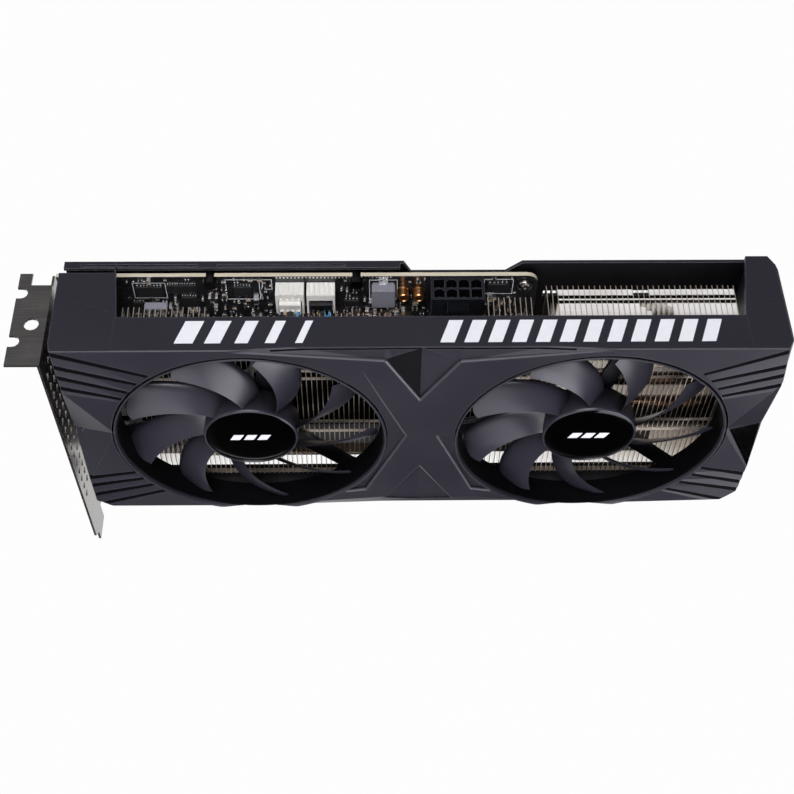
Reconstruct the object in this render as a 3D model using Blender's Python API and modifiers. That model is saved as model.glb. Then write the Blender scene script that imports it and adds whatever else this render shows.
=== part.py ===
"""Dual-fan graphics card, built as separate pieces that sit where they do on the real card.

The card stands upright, as it does in its slot. +X runs from the metal bracket to the tail,
-Y is the fan side, and +Z is the long free edge with the power connector. The origin is the
middle of the long segment of the edge connector, on its lower face.

Sizes are in millimetres, measured from the bracket's outer face (x), the board's middle plane
(y) and the lower face of the edge connector (z). The empty "bracket_datum" carries that frame.
"""

import math

import bmesh
import bpy
from mathutils import Vector

MM = 0.001
GAP = 0.3  # left between pieces that touch on the real card

# Edge connector and board
EDGE_START = 50.0
EDGE_SHORT = 11.65
EDGE_KEY = 1.9
EDGE_LONG = 71.35
EDGE_CHAMFER = 0.8
LONG_START = EDGE_START + EDGE_SHORT + EDGE_KEY
EDGE_END = LONG_START + EDGE_LONG
EDGE_CENTRE = LONG_START + EDGE_LONG / 2
BOARD_LEFT = 2.4
BOARD_RIGHT = 165.0
BOARD_LOW = 8.25
BOARD_TOP = 111.15
BOARD_HALF = 0.785
BOARD_CORNER = 4.0

# Bracket
BRACKET_T = 0.86
BRACKET_FRONT = -35.3
BRACKET_BACK = 3.45
BRACKET_TOP = 108.0
BRACKET_LOW = -3.4
TAIL_LOW = -12.0
TAIL_WIDTH = 10.2
TAB_REACH = -10.57
SLOT_PITCH = 20.32
FIRST_SLOT_Y = -5.08
NOTCH_HALF = 2.21
NOTCH_DEEP = -6.9

# Shroud
SHROUD_FRONT = -38.5
SHROUD_SIDE = -34.5  # where the chamfer round the front meets the side walls
SHROUD_BACK = 0.5
SHROUD_TOP = 119.5
SHROUD_LOW = 20.0
SHROUD_LEFT = 5.6
SHROUD_RIGHT = 244.3
SHROUD_WALL = 2.0
STRIP_BACK = -24.7
FLOOR_BACK = -15.0

# Fans
FAN_X = {"left": 66.3, "right": 184.1}
FAN_Z = 67.5
DUCT_R = 46.0
DUCT_WALL = 1.4
DUCT_BACK = -27.2
HUB_R = 16.4
HUB_FRONT = 37.0  # heights on a fan's own axis, counted forward from the board plane
HUB_BACK = 27.6
BLADES = 9
BLADE_TIP = 44.0
BLADE_DEPTH = 8.2
BLADE_TURN = 15.5  # degrees from +X to the root of the first blade
BLADE_SWEEP = 30.0  # degrees that a tip leads its root by
BLADE_CHORD = 20.0  # degrees from the leading edge to the trailing edge

# Cooler
FIN_FRONT = -24.3
FIN_LOW = 24.0
FIN_TOP = 112.0
FIN_PITCH = 3.3
FIN_T = 0.8
MAIN_FINS = (26.0, 163.5)
MAIN_SPINE = (-11.6, -11.0)
TAIL_FINS = (166.5, 232.0)
TAIL_BACK = -6.0
PIPE_R = 2.5
PIPE_Y = -8.2
PIPE_Z = (47.0, 62.0, 77.0)
GPU = (100.0, 62.0)

# Backplate
PLATE_FRONT = 3.0
PLATE_BACK = 4.2
PLATE_TOP = 113.3
PLATE_DIP = 108.5

# Power connector
SOCKET_X = (128.35, 146.35)
SOCKET_Y = (-10.5, -0.9 - GAP / 2)
SOCKET_Z = (94.0, 110.6)
SOCKET_PITCH = 4.2
SOCKET_HOLE = 3.6
SOCKET_DEEP = 10.0

# Display sockets: reach along X, place along Y, and the stretch of the bracket each one takes
PORT_DEPTH = 16.0
PORT_Y = (-6.6, -1.1)
PORT_SHELL = 0.35
PORTS = {
    "video_port_1": (17.0, 33.6),
    "video_port_2": (37.3, 53.9),
    "video_port_3": (57.6, 74.2),
    "video_port_4": (79.0, 93.8),
}

# Fan headers on the board, the plugs in them and the leads to the fan motors
HEADER_X = {"left": (75.9, 85.5), "right": (86.4, 96.0)}
HEADER_Z = (98.5, 108.2)
HEADER_FRONT = -6.6
HEADER_WALL = 0.8
HEADER_CAP = 3.0
PLUG_FRONT = -8.2
LEAD_R = 1.2
LEAD_ROUTES = {
    "left": (
        (80.7, -8.6, 101.3), (80.7, -11.5, 101.0), (78.6, -14.6, 102.6), (74.6, -15.8, 105.8),
        (70.6, -17.2, 108.6), (67.6, -20.0, 109.8), (66.6, -23.0, 109.2), (67.6, -25.4, 107.0),
        (69.6, -25.75, 103.0), (69.2, -25.75, 98.0), (67.4, -25.75, 91.0), (65.9, -25.75, 84.4),
    ),
    "right": (
        (91.2, -8.6, 101.3), (91.2, -11.5, 100.6), (94.0, -14.4, 99.2), (100.5, -15.7, 98.0),
        (108.0, -15.8, 97.2), (116.5, -15.9, 97.0), (120.8, -18.8, 97.6), (122.6, -22.8, 97.6),
        (123.8, -26.6, 94.0), (124.6, -27.4, 86.0), (125.2, -27.2, 76.0), (127.4, -26.6, 66.5),
        (132.0, -25.9, 61.0), (138.5, -25.75, 60.0), (150.0, -25.75, 63.2), (160.0, -25.75, 65.9),
        (168.2, -25.75, 68.1),
    ),
}

# Screws and standoffs, as (x, z) on the board
STANDOFF_X = (54.0, 103.3)
STANDOFF_Z = 109.0
TAIL_SCREW = (160.6, 106.6)
COOLER_HALF = 26.0
SCREW_R = 1.5
SCREW_HOLE_R = 1.9

# Bracket vents: staggered columns of diamonds
VENT_COLUMNS = (-31.2, -26.2, -21.2)
VENT_ROWS = 15
VENT_PITCH = 5.3
VENT_LOW = 22.0
VENT_HALF_WIDTH = 1.5
VENT_HALF_HEIGHT = 2.0

for old in list(bpy.data.objects):
    bpy.data.objects.remove(old, do_unlink=True)

scene = bpy.context.scene
parts = bpy.data.collections.new("graphics_card")
tools = bpy.data.collections.new("cutters_and_unions")
scene.collection.children.link(parts)
scene.collection.children.link(tools)

datum = bpy.data.objects.new("bracket_datum", None)
datum.location = (-EDGE_CENTRE * MM, 0, 0)
parts.objects.link(datum)

TURN = {
    "X": (math.radians(90), 0, math.radians(90)),
    "Y": (math.radians(90), 0, 0),
    "Z": (0, 0, 0),
}


def make_material(name, colour, roughness, metallic=0.0):
    """A plain Principled material."""
    result = bpy.data.materials.new(name)
    result.use_nodes = True
    shader = result.node_tree.nodes["Principled BSDF"]
    shader.inputs["Base Color"].default_value = (*colour, 1)
    shader.inputs["Roughness"].default_value = roughness
    shader.inputs["Metallic"].default_value = metallic
    return result


SHROUD_PLASTIC = make_material("shroud_plastic", (0.030, 0.032, 0.045), 0.45)
BLACK_PLASTIC = make_material("black_plastic", (0.015, 0.015, 0.018), 0.5)
WHITE_PLASTIC = make_material("white_plastic", (0.8, 0.78, 0.72), 0.5)
GLOSS_DISC = make_material("gloss_disc", (0.004, 0.004, 0.005), 0.08)
BOARD_MASK = make_material("board_mask", (0.008, 0.009, 0.010), 0.4)
STEEL = make_material("bracket_steel", (0.55, 0.54, 0.52), 0.3, 1.0)
DARK_STEEL = make_material("dark_screw", (0.03, 0.03, 0.03), 0.35, 1.0)
GOLD = make_material("contact_gold", (0.85, 0.6, 0.25), 0.25, 1.0)
FIN_METAL = make_material("fin_aluminium", (0.62, 0.58, 0.53), 0.35, 1.0)
COPPER = make_material("pipe_copper", (0.65, 0.38, 0.25), 0.3, 1.0)
PLATE_PAINT = make_material("backplate_paint", (0.015, 0.015, 0.018), 0.45, 0.3)
CHOKE_GREY = make_material("choke_grey", (0.22, 0.23, 0.25), 0.5)
CHIP_BLACK = make_material("chip_black", (0.02, 0.02, 0.022), 0.5)
MAGNET = make_material("magnet_ferrite", (0.05, 0.05, 0.05), 0.6)
PAD_GREY = make_material("pad_grey", (0.35, 0.38, 0.42), 0.8)


def place(name, mesh, facing, location, material, parent, collection):
    """Link an object for a mesh; location is in mm in the parent's frame."""
    piece = bpy.data.objects.new(name, mesh)
    piece.parent = parent
    piece.location = Vector(location) * MM
    piece.rotation_euler = TURN[facing]
    if material:
        mesh.materials.append(material)
    collection.objects.link(piece)
    if collection == tools:
        piece.hide_render = True
        piece.display_type = "WIRE"
    return piece


def mesh_from(bm, name):
    """Turn a bmesh into a mesh with its faces pointing out."""
    bmesh.ops.recalc_face_normals(bm, faces=bm.faces)
    mesh = bpy.data.meshes.new(name)
    bm.to_mesh(mesh)
    bm.free()
    return mesh


def box(name, low, high, material=None, parent=datum, collection=parts):
    """A block between two corners."""
    bm = bmesh.new()
    bmesh.ops.create_cube(bm, size=1)
    size = [(b - a) * MM for a, b in zip(low, high)]
    bmesh.ops.scale(bm, vec=size, verts=bm.verts)
    centre = [(a + b) / 2 for a, b in zip(low, high)]
    return place(name, mesh_from(bm, name), "Z", centre, material, parent, collection)


def rod(name, centre, radius, length, facing, material=None, parent=datum, collection=parts, sides=16):
    """A cylinder along one axis, centred on a point."""
    bm = bmesh.new()
    bmesh.ops.create_cone(
        bm,
        cap_ends=True,
        segments=sides,
        radius1=radius * MM,
        radius2=radius * MM,
        depth=length * MM,
    )
    return place(name, mesh_from(bm, name), facing, centre, material, parent, collection)


def plate(name, outline, facing, low, high, material=None, parent=datum, collection=parts):
    """A flat outline given thickness along the facing axis.

    The outline's points are (y, z) for X, (x, z) for Y and (x, y) for Z. It is filled at
    millimetre scale, where the curve's own tolerances are small, each cap is merged into one
    face, and then it is brought to metres.
    """
    curve = bpy.data.curves.new(name, "CURVE")
    curve.dimensions = "2D"
    curve.fill_mode = "BOTH"
    curve.extrude = (high - low) / 2
    spline = curve.splines.new("POLY")
    spline.points.add(len(outline) - 1)
    for point, (u, v) in zip(spline.points, outline):
        point.co = (u, v, 0, 1)
    spline.use_cyclic_u = True
    holder = bpy.data.objects.new(name + "_outline", curve)
    tools.objects.link(holder)
    graph = bpy.context.evaluated_depsgraph_get()
    filled = bpy.data.meshes.new_from_object(holder.evaluated_get(graph))
    bpy.data.objects.remove(holder, do_unlink=True)
    bm = bmesh.new()
    bm.from_mesh(filled)
    bmesh.ops.remove_doubles(bm, verts=bm.verts, dist=0.001)
    for sign in (-1, 1):
        cap = [face for face in bm.faces if all(vert.co.z * sign > 0 for vert in face.verts)]
        bmesh.ops.dissolve_faces(bm, faces=cap)
    bmesh.ops.scale(bm, vec=(MM, MM, MM), verts=bm.verts)
    middle = (low + high) / 2
    centre = [middle if axis == facing else 0 for axis in "XYZ"]
    return place(name, mesh_from(bm, name), facing, centre, material, parent, collection)


def turned(name, profile, parent, material, steps=32):
    """A ring or solid of revolution about the parent's Z axis.

    The profile is (radius, height) in mm. It runs down the outer side, top to bottom. One that
    starts and ends on the axis makes a solid, any other is closed into a ring.
    """
    bm = bmesh.new()
    corners = [bm.verts.new((r * MM, 0, h * MM)) for r, h in profile]
    for a, b in zip(corners, corners[1:]):
        bm.edges.new((a, b))
    if profile[0][0] > 0:
        bm.edges.new((corners[-1], corners[0]))
    mesh = bpy.data.meshes.new(name)
    bm.to_mesh(mesh)
    bm.free()
    piece = place(name, mesh, "Z", (0, 0, 0), material, parent, parts)
    screw = piece.modifiers.new("turn", "SCREW")
    screw.steps = steps
    screw.render_steps = steps
    screw.use_merge_vertices = True
    screw.merge_threshold = 0.00001
    return piece


def boolean(piece, other, operation="DIFFERENCE"):
    """Cut a piece with, or join to it, a hidden tool."""
    step = piece.modifiers.new(operation.lower(), "BOOLEAN")
    step.operation = operation
    step.object = other
    step.solver = "EXACT"


def arc(centre, radius, start, end, steps):
    """Points on an arc, angles in degrees."""
    points = []
    for k in range(steps + 1):
        angle = math.radians(start + (end - start) * k / steps)
        points.append((centre[0] + radius * math.cos(angle), centre[1] + radius * math.sin(angle)))
    return points


def joined_tool(name, shapes):
    """One hidden tool made of several separate hidden shapes."""
    bm = bmesh.new()
    for shape in shapes:
        start = len(bm.verts)
        bm.from_mesh(shape.data)
        bm.verts.ensure_lookup_table()
        shift = shape.matrix_basis
        bmesh.ops.transform(bm, matrix=shift, verts=bm.verts[start:])
        bpy.data.objects.remove(shape, do_unlink=True)
    mesh = bpy.data.meshes.new(name)
    bm.to_mesh(mesh)
    bm.free()
    return place(name, mesh, "Z", (0, 0, 0), None, datum, tools)


def make_board():
    """The circuit board, with the keyed edge connector and the retention hook below it."""
    c = EDGE_CHAMFER
    outline = [(BOARD_LEFT, BOARD_LOW)]
    for start, end in ((EDGE_START, EDGE_START + EDGE_SHORT), (LONG_START, EDGE_END)):
        outline += [(start, BOARD_LOW - 0.9), (start, c), (start + c, 0), (end - c, 0), (end, c)]
        outline += [(end, BOARD_LOW - 0.9)]
    outline += [(EDGE_END, BOARD_LOW), (136.9, BOARD_LOW), (136.9, 4.0), (138.2, 2.7)]
    outline += [(143.5, 2.7), (145.0, 4.2), (145.0, BOARD_LOW), (BOARD_RIGHT, BOARD_LOW)]
    corner = (BOARD_RIGHT - BOARD_CORNER, BOARD_TOP - BOARD_CORNER)
    outline += arc(corner, BOARD_CORNER, 0, 90, 5)
    outline += [(BOARD_LEFT, BOARD_TOP)]
    outline.insert(1, (EDGE_START, BOARD_LOW))
    board = plate("board", outline, "Y", -BOARD_HALF, BOARD_HALF, BOARD_MASK)
    spots = [(x, z, SCREW_HOLE_R) for x, z in cooler_screws() + [TAIL_SCREW]]
    spots += [(x, STANDOFF_Z, 2.6) for x in STANDOFF_X]
    holes = [rod("hole", (x, 0, z), r, 6, "Y", collection=tools, sides=12) for x, z, r in spots]
    boolean(board, joined_tool("board_holes", holes))


def make_contacts():
    """The gold contact rows on both faces of the edge connector."""
    for name, sign in (("front", -1), ("back", 1)):
        face = sign * (BOARD_HALF + 0.04)
        outer = sign * (BOARD_HALF + 0.12)
        low, high = sorted((face, outer))
        box(f"contact_row_{name}", (LONG_START + 0.6, low, 1.2), (EDGE_END - 0.6, high, 5.6), GOLD)
        key = (EDGE_START + 0.6, EDGE_START + EDGE_SHORT - 0.6)
        box(f"key_contact_row_{name}", (key[0], low, 1.2), (key[1], high, 5.6), GOLD)


def cooler_screws():
    """The four screw places round the graphics chip."""
    return [(GPU[0] + i * COOLER_HALF, GPU[1] + j * COOLER_HALF) for i in (-1, 1) for j in (-1, 1)]


def make_ports():
    """Four hollow metal display sockets that look out through the bracket."""
    for name, (low, high) in PORTS.items():
        shell = box(name, (0.1, PORT_Y[0], low), (PORT_DEPTH, PORT_Y[1], high), STEEL)
        mouth = box(
            name + "_mouth",
            (-1, PORT_Y[0] + PORT_SHELL, low + PORT_SHELL),
            (PORT_DEPTH - 3, PORT_Y[1] - PORT_SHELL, high - PORT_SHELL),
            collection=tools,
        )
        boolean(shell, mouth)


def notch_points(centre_y):
    """The round-ended screw notch in the bracket's tab, open towards -X."""
    turn = (NOTCH_DEEP - NOTCH_HALF, centre_y)
    points = [(TAB_REACH, centre_y - NOTCH_HALF)]
    points += [(x, y) for x, y in arc(turn, NOTCH_HALF, -90, 90, 6)]
    return points + [(TAB_REACH, centre_y + NOTCH_HALF)]


def make_bracket():
    """The two-slot steel bracket: plate, screw tab, two tails, vents and socket cut-outs."""
    tail = (FIRST_SLOT_Y - SLOT_PITCH - 6.4, FIRST_SLOT_Y - SLOT_PITCH - 6.4 + TAIL_WIDTH)
    second = (tail[0] + SLOT_PITCH, tail[1] + SLOT_PITCH)
    drop = BRACKET_LOW - (tail[0] - BRACKET_FRONT)
    outline = [(BRACKET_FRONT, BRACKET_TOP), (BRACKET_FRONT, BRACKET_LOW), (tail[0], drop)]
    outline += [(tail[0], TAIL_LOW), (tail[1], TAIL_LOW), (tail[1], BRACKET_LOW), (second[0], BRACKET_LOW)]
    outline += [(second[0], TAIL_LOW), (second[1], TAIL_LOW), (second[1], drop)]
    outline += [(BRACKET_BACK, drop + BRACKET_BACK - second[1]), (BRACKET_BACK, BRACKET_TOP - 1.2)]
    outline += [(-1.6, BRACKET_TOP - 1.2), (-1.6, BRACKET_TOP)]
    bracket = plate("io_bracket", outline, "X", 0, BRACKET_T, STEEL)
    tab = [(BRACKET_T / 2, BRACKET_FRONT), (TAB_REACH, BRACKET_FRONT)]
    tab += notch_points(FIRST_SLOT_Y - SLOT_PITCH) + notch_points(FIRST_SLOT_Y)
    tab += [(TAB_REACH, BRACKET_BACK), (-6.3, BRACKET_BACK), (-6.3, -1.6), (BRACKET_T / 2, -1.6)]
    flange = plate("tab", tab, "Z", BRACKET_TOP - BRACKET_T, BRACKET_TOP, collection=tools)
    boolean(bracket, flange, "UNION")
    cuts = [rod("hole", (-4.0, -18.3, BRACKET_TOP), 2.5, 6, "Z", collection=tools, sides=12)]
    for low, high in PORTS.values():
        corner = (-2, PORT_Y[0] - GAP, low - GAP)
        cuts.append(box("socket", corner, (3, PORT_Y[1] + GAP, high + GAP), collection=tools))
    wide, tall = VENT_HALF_WIDTH, VENT_HALF_HEIGHT
    for column, y in enumerate(VENT_COLUMNS):
        for row in range(VENT_ROWS):
            z = VENT_LOW + VENT_PITCH * (row + 0.5 * (column % 2))
            diamond = [(y - wide, z), (y, z - tall), (y + wide, z), (y, z + tall)]
            cuts.append(plate("vent", diamond, "X", -2, 3, collection=tools))
    boolean(bracket, joined_tool("bracket_cuts", cuts))


def make_backplate():
    """The metal plate behind the board, dipped at the power connector and vented at the tail."""
    outline = [(5.2, 14.0), (243.0, 14.0), (243.0, PLATE_TOP), (159.5, PLATE_TOP), (154.0, PLATE_DIP)]
    outline += [(121.9, PLATE_DIP), (119.3, PLATE_TOP), (5.2, PLATE_TOP)]
    backplate = plate("backplate", outline, "Y", PLATE_FRONT, PLATE_BACK, PLATE_PAINT)
    lip = box("lip", (5.2, 1.2, PLATE_TOP - 1.2), (118.0, PLATE_FRONT + 0.5, PLATE_TOP), collection=tools)
    boolean(backplate, lip, "UNION")
    slot = [(168.0, 95.8), (229.0, 95.8), (229.0, 98.6), (168.0, 98.6)]
    large = [(170.0, 30.0), (229.0, 30.0), (229.0, 51.0), (188.5, 91.5), (170.0, 91.5)]
    small = [(229.0, 60.0), (229.0, 91.5), (197.5, 91.5)]
    vents = [plate("vent", shape, "Y", 1, 6, collection=tools) for shape in (slot, large, small)]
    window = [rod("hole", (x, 4, z), 3.4, 6, "Y", collection=tools, sides=16) for x, z in cooler_screws()]
    boolean(backplate, joined_tool("backplate_cuts", vents + window))


def make_shroud():
    """The plastic fan cover: a faceted tray, open behind, with two round fan ducts."""
    front = [(6.6, 28.4), (12.0, 24.4), (66.0, 24.1), (112.0, 29.6), (149.0, 29.1), (184.5, 24.1)]
    front += [(238.5, 26.1), (243.4, 32.2), (243.8, 100.0), (241.4, SHROUD_TOP), (6.4, SHROUD_TOP)]
    side = [(SHROUD_LEFT, 24.4), (9.6, SHROUD_LOW), (66.0, SHROUD_LOW), (112.0, SHROUD_LOW)]
    side += [(149.0, SHROUD_LOW), (184.5, SHROUD_LOW), (240.0, SHROUD_LOW), (SHROUD_RIGHT, 25.0)]
    side += [(SHROUD_RIGHT, 100.0), (SHROUD_RIGHT - 0.6, SHROUD_TOP), (SHROUD_LEFT, SHROUD_TOP)]
    rings = ((front, SHROUD_FRONT), (side, SHROUD_SIDE), (side, SHROUD_BACK))
    bm = bmesh.new()
    loops = [[bm.verts.new((x * MM, y * MM, z * MM)) for x, z in ring] for ring, y in rings]
    bm.faces.new(loops[0])
    for near, far in zip(loops, loops[1:]):
        for k in range(len(near)):
            after = (k + 1) % len(near)
            bm.faces.new((near[k], far[k], far[after], near[after]))
    shroud = place("shroud", mesh_from(bm, "shroud"), "Z", (0, 0, 0), SHROUD_PLASTIC, datum, parts)
    wall = shroud.modifiers.new("wall", "SOLIDIFY")
    wall.thickness = SHROUD_WALL * MM
    wall.offset = -1
    wall.use_even_offset = True
    top_open = [(23.4, 2.0), (26.4, STRIP_BACK), (229.4, STRIP_BACK), (233.7, 2.0)]
    boolean(shroud, plate("top_opening", top_open, "Z", 90, 130, collection=tools))
    boolean(shroud, box("floor_opening", (0, FLOOR_BACK, 0), (250, 2, 30), collection=tools))
    boolean(shroud, box("left_end", (0, -6, 0), (23.0, 2, 130), collection=tools))
    boolean(shroud, box("exhaust", (0, -23, 29), (12, -2, 112), collection=tools))
    for side_name, x in FAN_X.items():
        middle = (DUCT_BACK + SHROUD_FRONT + 1) / 2
        length = DUCT_BACK - SHROUD_FRONT - 1
        centre = (x, middle, FAN_Z)
        duct = rod("duct_" + side_name, centre, DUCT_R + DUCT_WALL, length, "Y", collection=tools, sides=44)
        boolean(shroud, duct, "UNION")
    for side_name, x in FAN_X.items():
        bore = rod("bore_" + side_name, (x, -33, FAN_Z), DUCT_R, 16, "Y", collection=tools, sides=44)
        boolean(shroud, bore)


def fan_axis(side_name):
    """An empty on a fan's axis, its Z axis pointing out of the fan side."""
    axis = bpy.data.objects.new(f"fan_axis_{side_name}", None)
    axis.parent = datum
    axis.location = (FAN_X[side_name] * MM, 0, FAN_Z * MM)
    axis.rotation_euler = TURN["Y"]
    parts.objects.link(axis)
    return axis


def blade_mesh():
    """Nine open blade surfaces: each sweeps anticlockwise outwards and falls back clockwise."""
    bm = bmesh.new()
    spans = 5
    chords = 3
    for blade in range(BLADES):
        rows = []
        for i in range(spans + 1):
            u = i / spans
            row = []
            for j in range(chords + 1):
                v = j / chords
                tip = BLADE_TIP - 3.5 * (2 * v - 1) ** 4
                radius = (HUB_R - 0.6) + u * (tip - HUB_R + 0.6)
                lead = BLADE_TURN + BLADE_SWEEP * u - BLADE_CHORD * v
                angle = math.radians(blade * 360 / BLADES + lead)
                height = HUB_FRONT - 0.9 - (BLADE_DEPTH - 1.4) * v ** 0.85
                spot = (radius * math.cos(angle), radius * math.sin(angle), height)
                row.append(bm.verts.new(Vector(spot) * MM))
            rows.append(row)
        for near, far in zip(rows, rows[1:]):
            for j in range(chords):
                bm.faces.new((near[j], near[j + 1], far[j + 1], far[j]))
    mesh = bpy.data.meshes.new("blades")
    bm.to_mesh(mesh)
    bm.free()
    return mesh


def make_fan(side_name):
    """One fan: rotor, hub disc, magnet and shaft turn; frame, stator and bearing stay."""
    axis = fan_axis(side_name)
    blades = place("blades_" + side_name, blade_mesh(), "Z", (0, 0, 0), None, axis, tools)
    sheet = blades.modifiers.new("thickness", "SOLIDIFY")
    sheet.thickness = 1.2 * MM
    sheet.offset = 0
    face = HUB_FRONT
    cup = [(15.6, face), (HUB_R, face - 0.6), (HUB_R, HUB_BACK), (15.2, HUB_BACK), (15.2, face - 2.0)]
    cup += [(2.6, face - 2.0), (2.6, face - 1.2), (15.6, face - 1.2)]
    rotor = turned(f"fan_rotor_{side_name}", cup, axis, SHROUD_PLASTIC, 36)
    boolean(rotor, blades, "UNION")
    disc = [(0, face - 0.2), (15.3, face - 0.2), (15.3, face - 0.9), (0, face - 0.9)]
    turned(f"hub_disc_{side_name}", disc, axis, GLOSS_DISC, 36)
    magnet = [(14.9, 33.8), (14.9, 28.2), (13.4, 28.2), (13.4, 33.8)]
    turned(f"magnet_ring_{side_name}", magnet, axis, MAGNET, 32)
    shaft = [(0, face - 1.3), (2.3, face - 1.3), (2.3, 34.4), (1.5, 34.2), (1.5, 26.9), (0, 26.9)]
    turned(f"fan_shaft_{side_name}", shaft, axis, STEEL, 16)
    sleeve = [(3.0, 33.4), (3.0, 26.9), (1.6, 26.9), (1.6, 33.4)]
    turned(f"bearing_{side_name}", sleeve, axis, COPPER, 24)
    coil = [(12.8, 33.2), (12.8, 28.4), (4.7, 28.4), (4.7, 33.2)]
    turned(f"stator_{side_name}", coil, axis, COPPER, 24)
    base = [(0, 26.5), (3.3, 26.5), (3.3, 33.4), (4.3, 33.4)]
    base += [(4.3, 26.6), (14.0, 26.6), (14.0, 25.0), (0, 25.0)]
    frame = turned(f"fan_frame_{side_name}", base, axis, BLACK_PLASTIC, 24)
    for angle in (75, 195, 315):
        arm_bm = bmesh.new()
        bmesh.ops.create_cube(arm_bm, size=1)
        bmesh.ops.scale(arm_bm, vec=(37.0 * MM, 6.0 * MM, 1.5 * MM), verts=arm_bm.verts)
        arm = place(f"arm_{side_name}_{angle}", mesh_from(arm_bm, "arm"), "Z", (0, 0, 0), None, axis, tools)
        turn = math.radians(angle)
        arm.location = (30.0 * MM * math.cos(turn), 30.0 * MM * math.sin(turn), 25.8 * MM)
        arm.rotation_euler = (0, 0, turn)
        boolean(frame, arm, "UNION")


def comb(start, end, front, back, spine):
    """The plan outline of a fin stack: fins across a thin spine, along X."""
    count = int((end - start - FIN_T) / FIN_PITCH)
    lefts = [start + k * FIN_PITCH for k in range(count + 1)]
    outline = []
    for x in lefts:
        outline += [(x, spine[0]), (x, front), (x + FIN_T, front), (x + FIN_T, spine[0])]
    for x in reversed(lefts):
        if back > spine[1]:
            outline += [(x + FIN_T, spine[1]), (x + FIN_T, back), (x, back), (x, spine[1])]
        else:
            outline += [(x + FIN_T, spine[1]), (x, spine[1])]
    return outline


def make_cooler():
    """Two fin stacks, three heat pipes and the cold plate."""
    outline = comb(MAIN_FINS[0], MAIN_FINS[1], FIN_FRONT, MAIN_SPINE[1], MAIN_SPINE)
    main = plate("fin_stack_main", outline, "Z", FIN_LOW, FIN_TOP, FIN_METAL)
    boolean(main, box("part_room", (20, -17.4, 91), (146.8, -5, 120), collection=tools))
    boolean(main, box("socket_room", (117.3, -30, 91), (146.8, -16, 120), collection=tools))
    boolean(main, box("lead_room", (56.0, -30, 100), (83.0, -16, 120), collection=tools))
    outline = comb(TAIL_FINS[0], TAIL_FINS[1], FIN_FRONT, TAIL_BACK, MAIN_SPINE)
    tail = plate("fin_stack_tail", outline, "Z", FIN_LOW, FIN_TOP, FIN_METAL)
    for index, z in enumerate(PIPE_Z, 1):
        low = (TAIL_FINS[0] - 2, MAIN_SPINE[1] + 0.1, z - PIPE_R - GAP)
        room = box(f"pipe_room_{index}", low, (TAIL_FINS[1] + 2, 0, z + PIPE_R + GAP), collection=tools)
        boolean(tail, room)
        rod(f"heat_pipe_{index}", (131.0, PIPE_Y, z), PIPE_R, 198.0, "X", COPPER, sides=16)
    low = (GPU[0] - 22, -5.4, GPU[1] - 22)
    box("cold_plate", low, (GPU[0] + 22, -3.5, GPU[1] + 22), COPPER)


def make_chips():
    """The graphics chip, the memory chips with their pads, the chokes and the capacitors."""
    front = -BOARD_HALF - GAP / 2
    low, high = (GPU[0] - 17, -2.3, GPU[1] - 17), (GPU[0] + 17, front, GPU[1] + 17)
    package = box("graphics_chip", low, high, CHIP_BLACK)
    die = box("die", (GPU[0] - 8, -3.2, GPU[1] - 6), (GPU[0] + 8, -2.0, GPU[1] + 6), collection=tools)
    boolean(package, die, "UNION")
    places = ((61.0, 52.0), (61.0, 72.0), (139.0, 52.0), (139.0, 72.0))
    for index, (x, z) in enumerate(places, 1):
        box(f"memory_chip_{index}", (x - 6, -2.1, z - 7), (x + 6, front, z + 7), CHIP_BLACK)
    for index, x in enumerate((61.0, 139.0), 1):
        box(f"memory_pad_{index}", (x - 5.5, -4.2, 45.5), (x + 5.5, -2.4, 78.5), PAD_GREY)
    box("choke_1", (108.4, -5.2, 99.5), (116.4, front, 108.5), CHOKE_GREY)
    for index in range(2, 5):
        low = 24.0 + 24.0 * (index - 2)
        box(f"choke_{index}", (38.0, -5.0, low), (45.0, front, low + 7.0), CHOKE_GREY)
    for index, x in enumerate((119.2, 124.4), 1):
        rod(f"capacitor_{index}", (x, -3.1, 104.6), 1.9, 4.2, "Y", COPPER, sides=16)


def make_power_connector():
    """The eight-way power socket at the free edge, its mouths facing +Z."""
    housing = box(
        "power_connector",
        (SOCKET_X[0], SOCKET_Y[0], SOCKET_Z[0]),
        (SOCKET_X[1], SOCKET_Y[1], SOCKET_Z[1]),
        BLACK_PLASTIC,
    )
    holes = []
    centre_x = sum(SOCKET_X) / 2
    centre_y = sum(SOCKET_Y) / 2
    for column in range(4):
        for row in range(2):
            x = centre_x + (column - 1.5) * SOCKET_PITCH
            y = centre_y + (row - 0.5) * SOCKET_PITCH
            half = SOCKET_HOLE / 2
            low = (x - half, y - half, SOCKET_Z[1] - SOCKET_DEEP)
            holes.append(box("way", low, (x + half, y + half, SOCKET_Z[1] + 2), collection=tools))
    boolean(housing, joined_tool("ways", holes))


def make_fan_wiring():
    """Two four-way headers, the plugs in them, and the leads to the fan motors."""
    front = -BOARD_HALF - GAP / 2
    for side_name, (x0, x1) in HEADER_X.items():
        low, high = (x0, HEADER_FRONT, HEADER_Z[0]), (x1, front, HEADER_Z[1])
        header = box(f"fan_header_{side_name}", low, high, WHITE_PLASTIC)
        low = (x0 + HEADER_WALL, HEADER_FRONT - 2, HEADER_Z[0] + HEADER_WALL)
        high = (x1 - HEADER_WALL, front - HEADER_WALL, HEADER_Z[1] - HEADER_CAP)
        boolean(header, box(f"well_{side_name}", low, high, collection=tools))
        low = (low[0] + GAP, PLUG_FRONT, low[2] + GAP)
        high = tuple(value - GAP for value in high)
        box(f"fan_plug_{side_name}", low, high, BLACK_PLASTIC)


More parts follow.
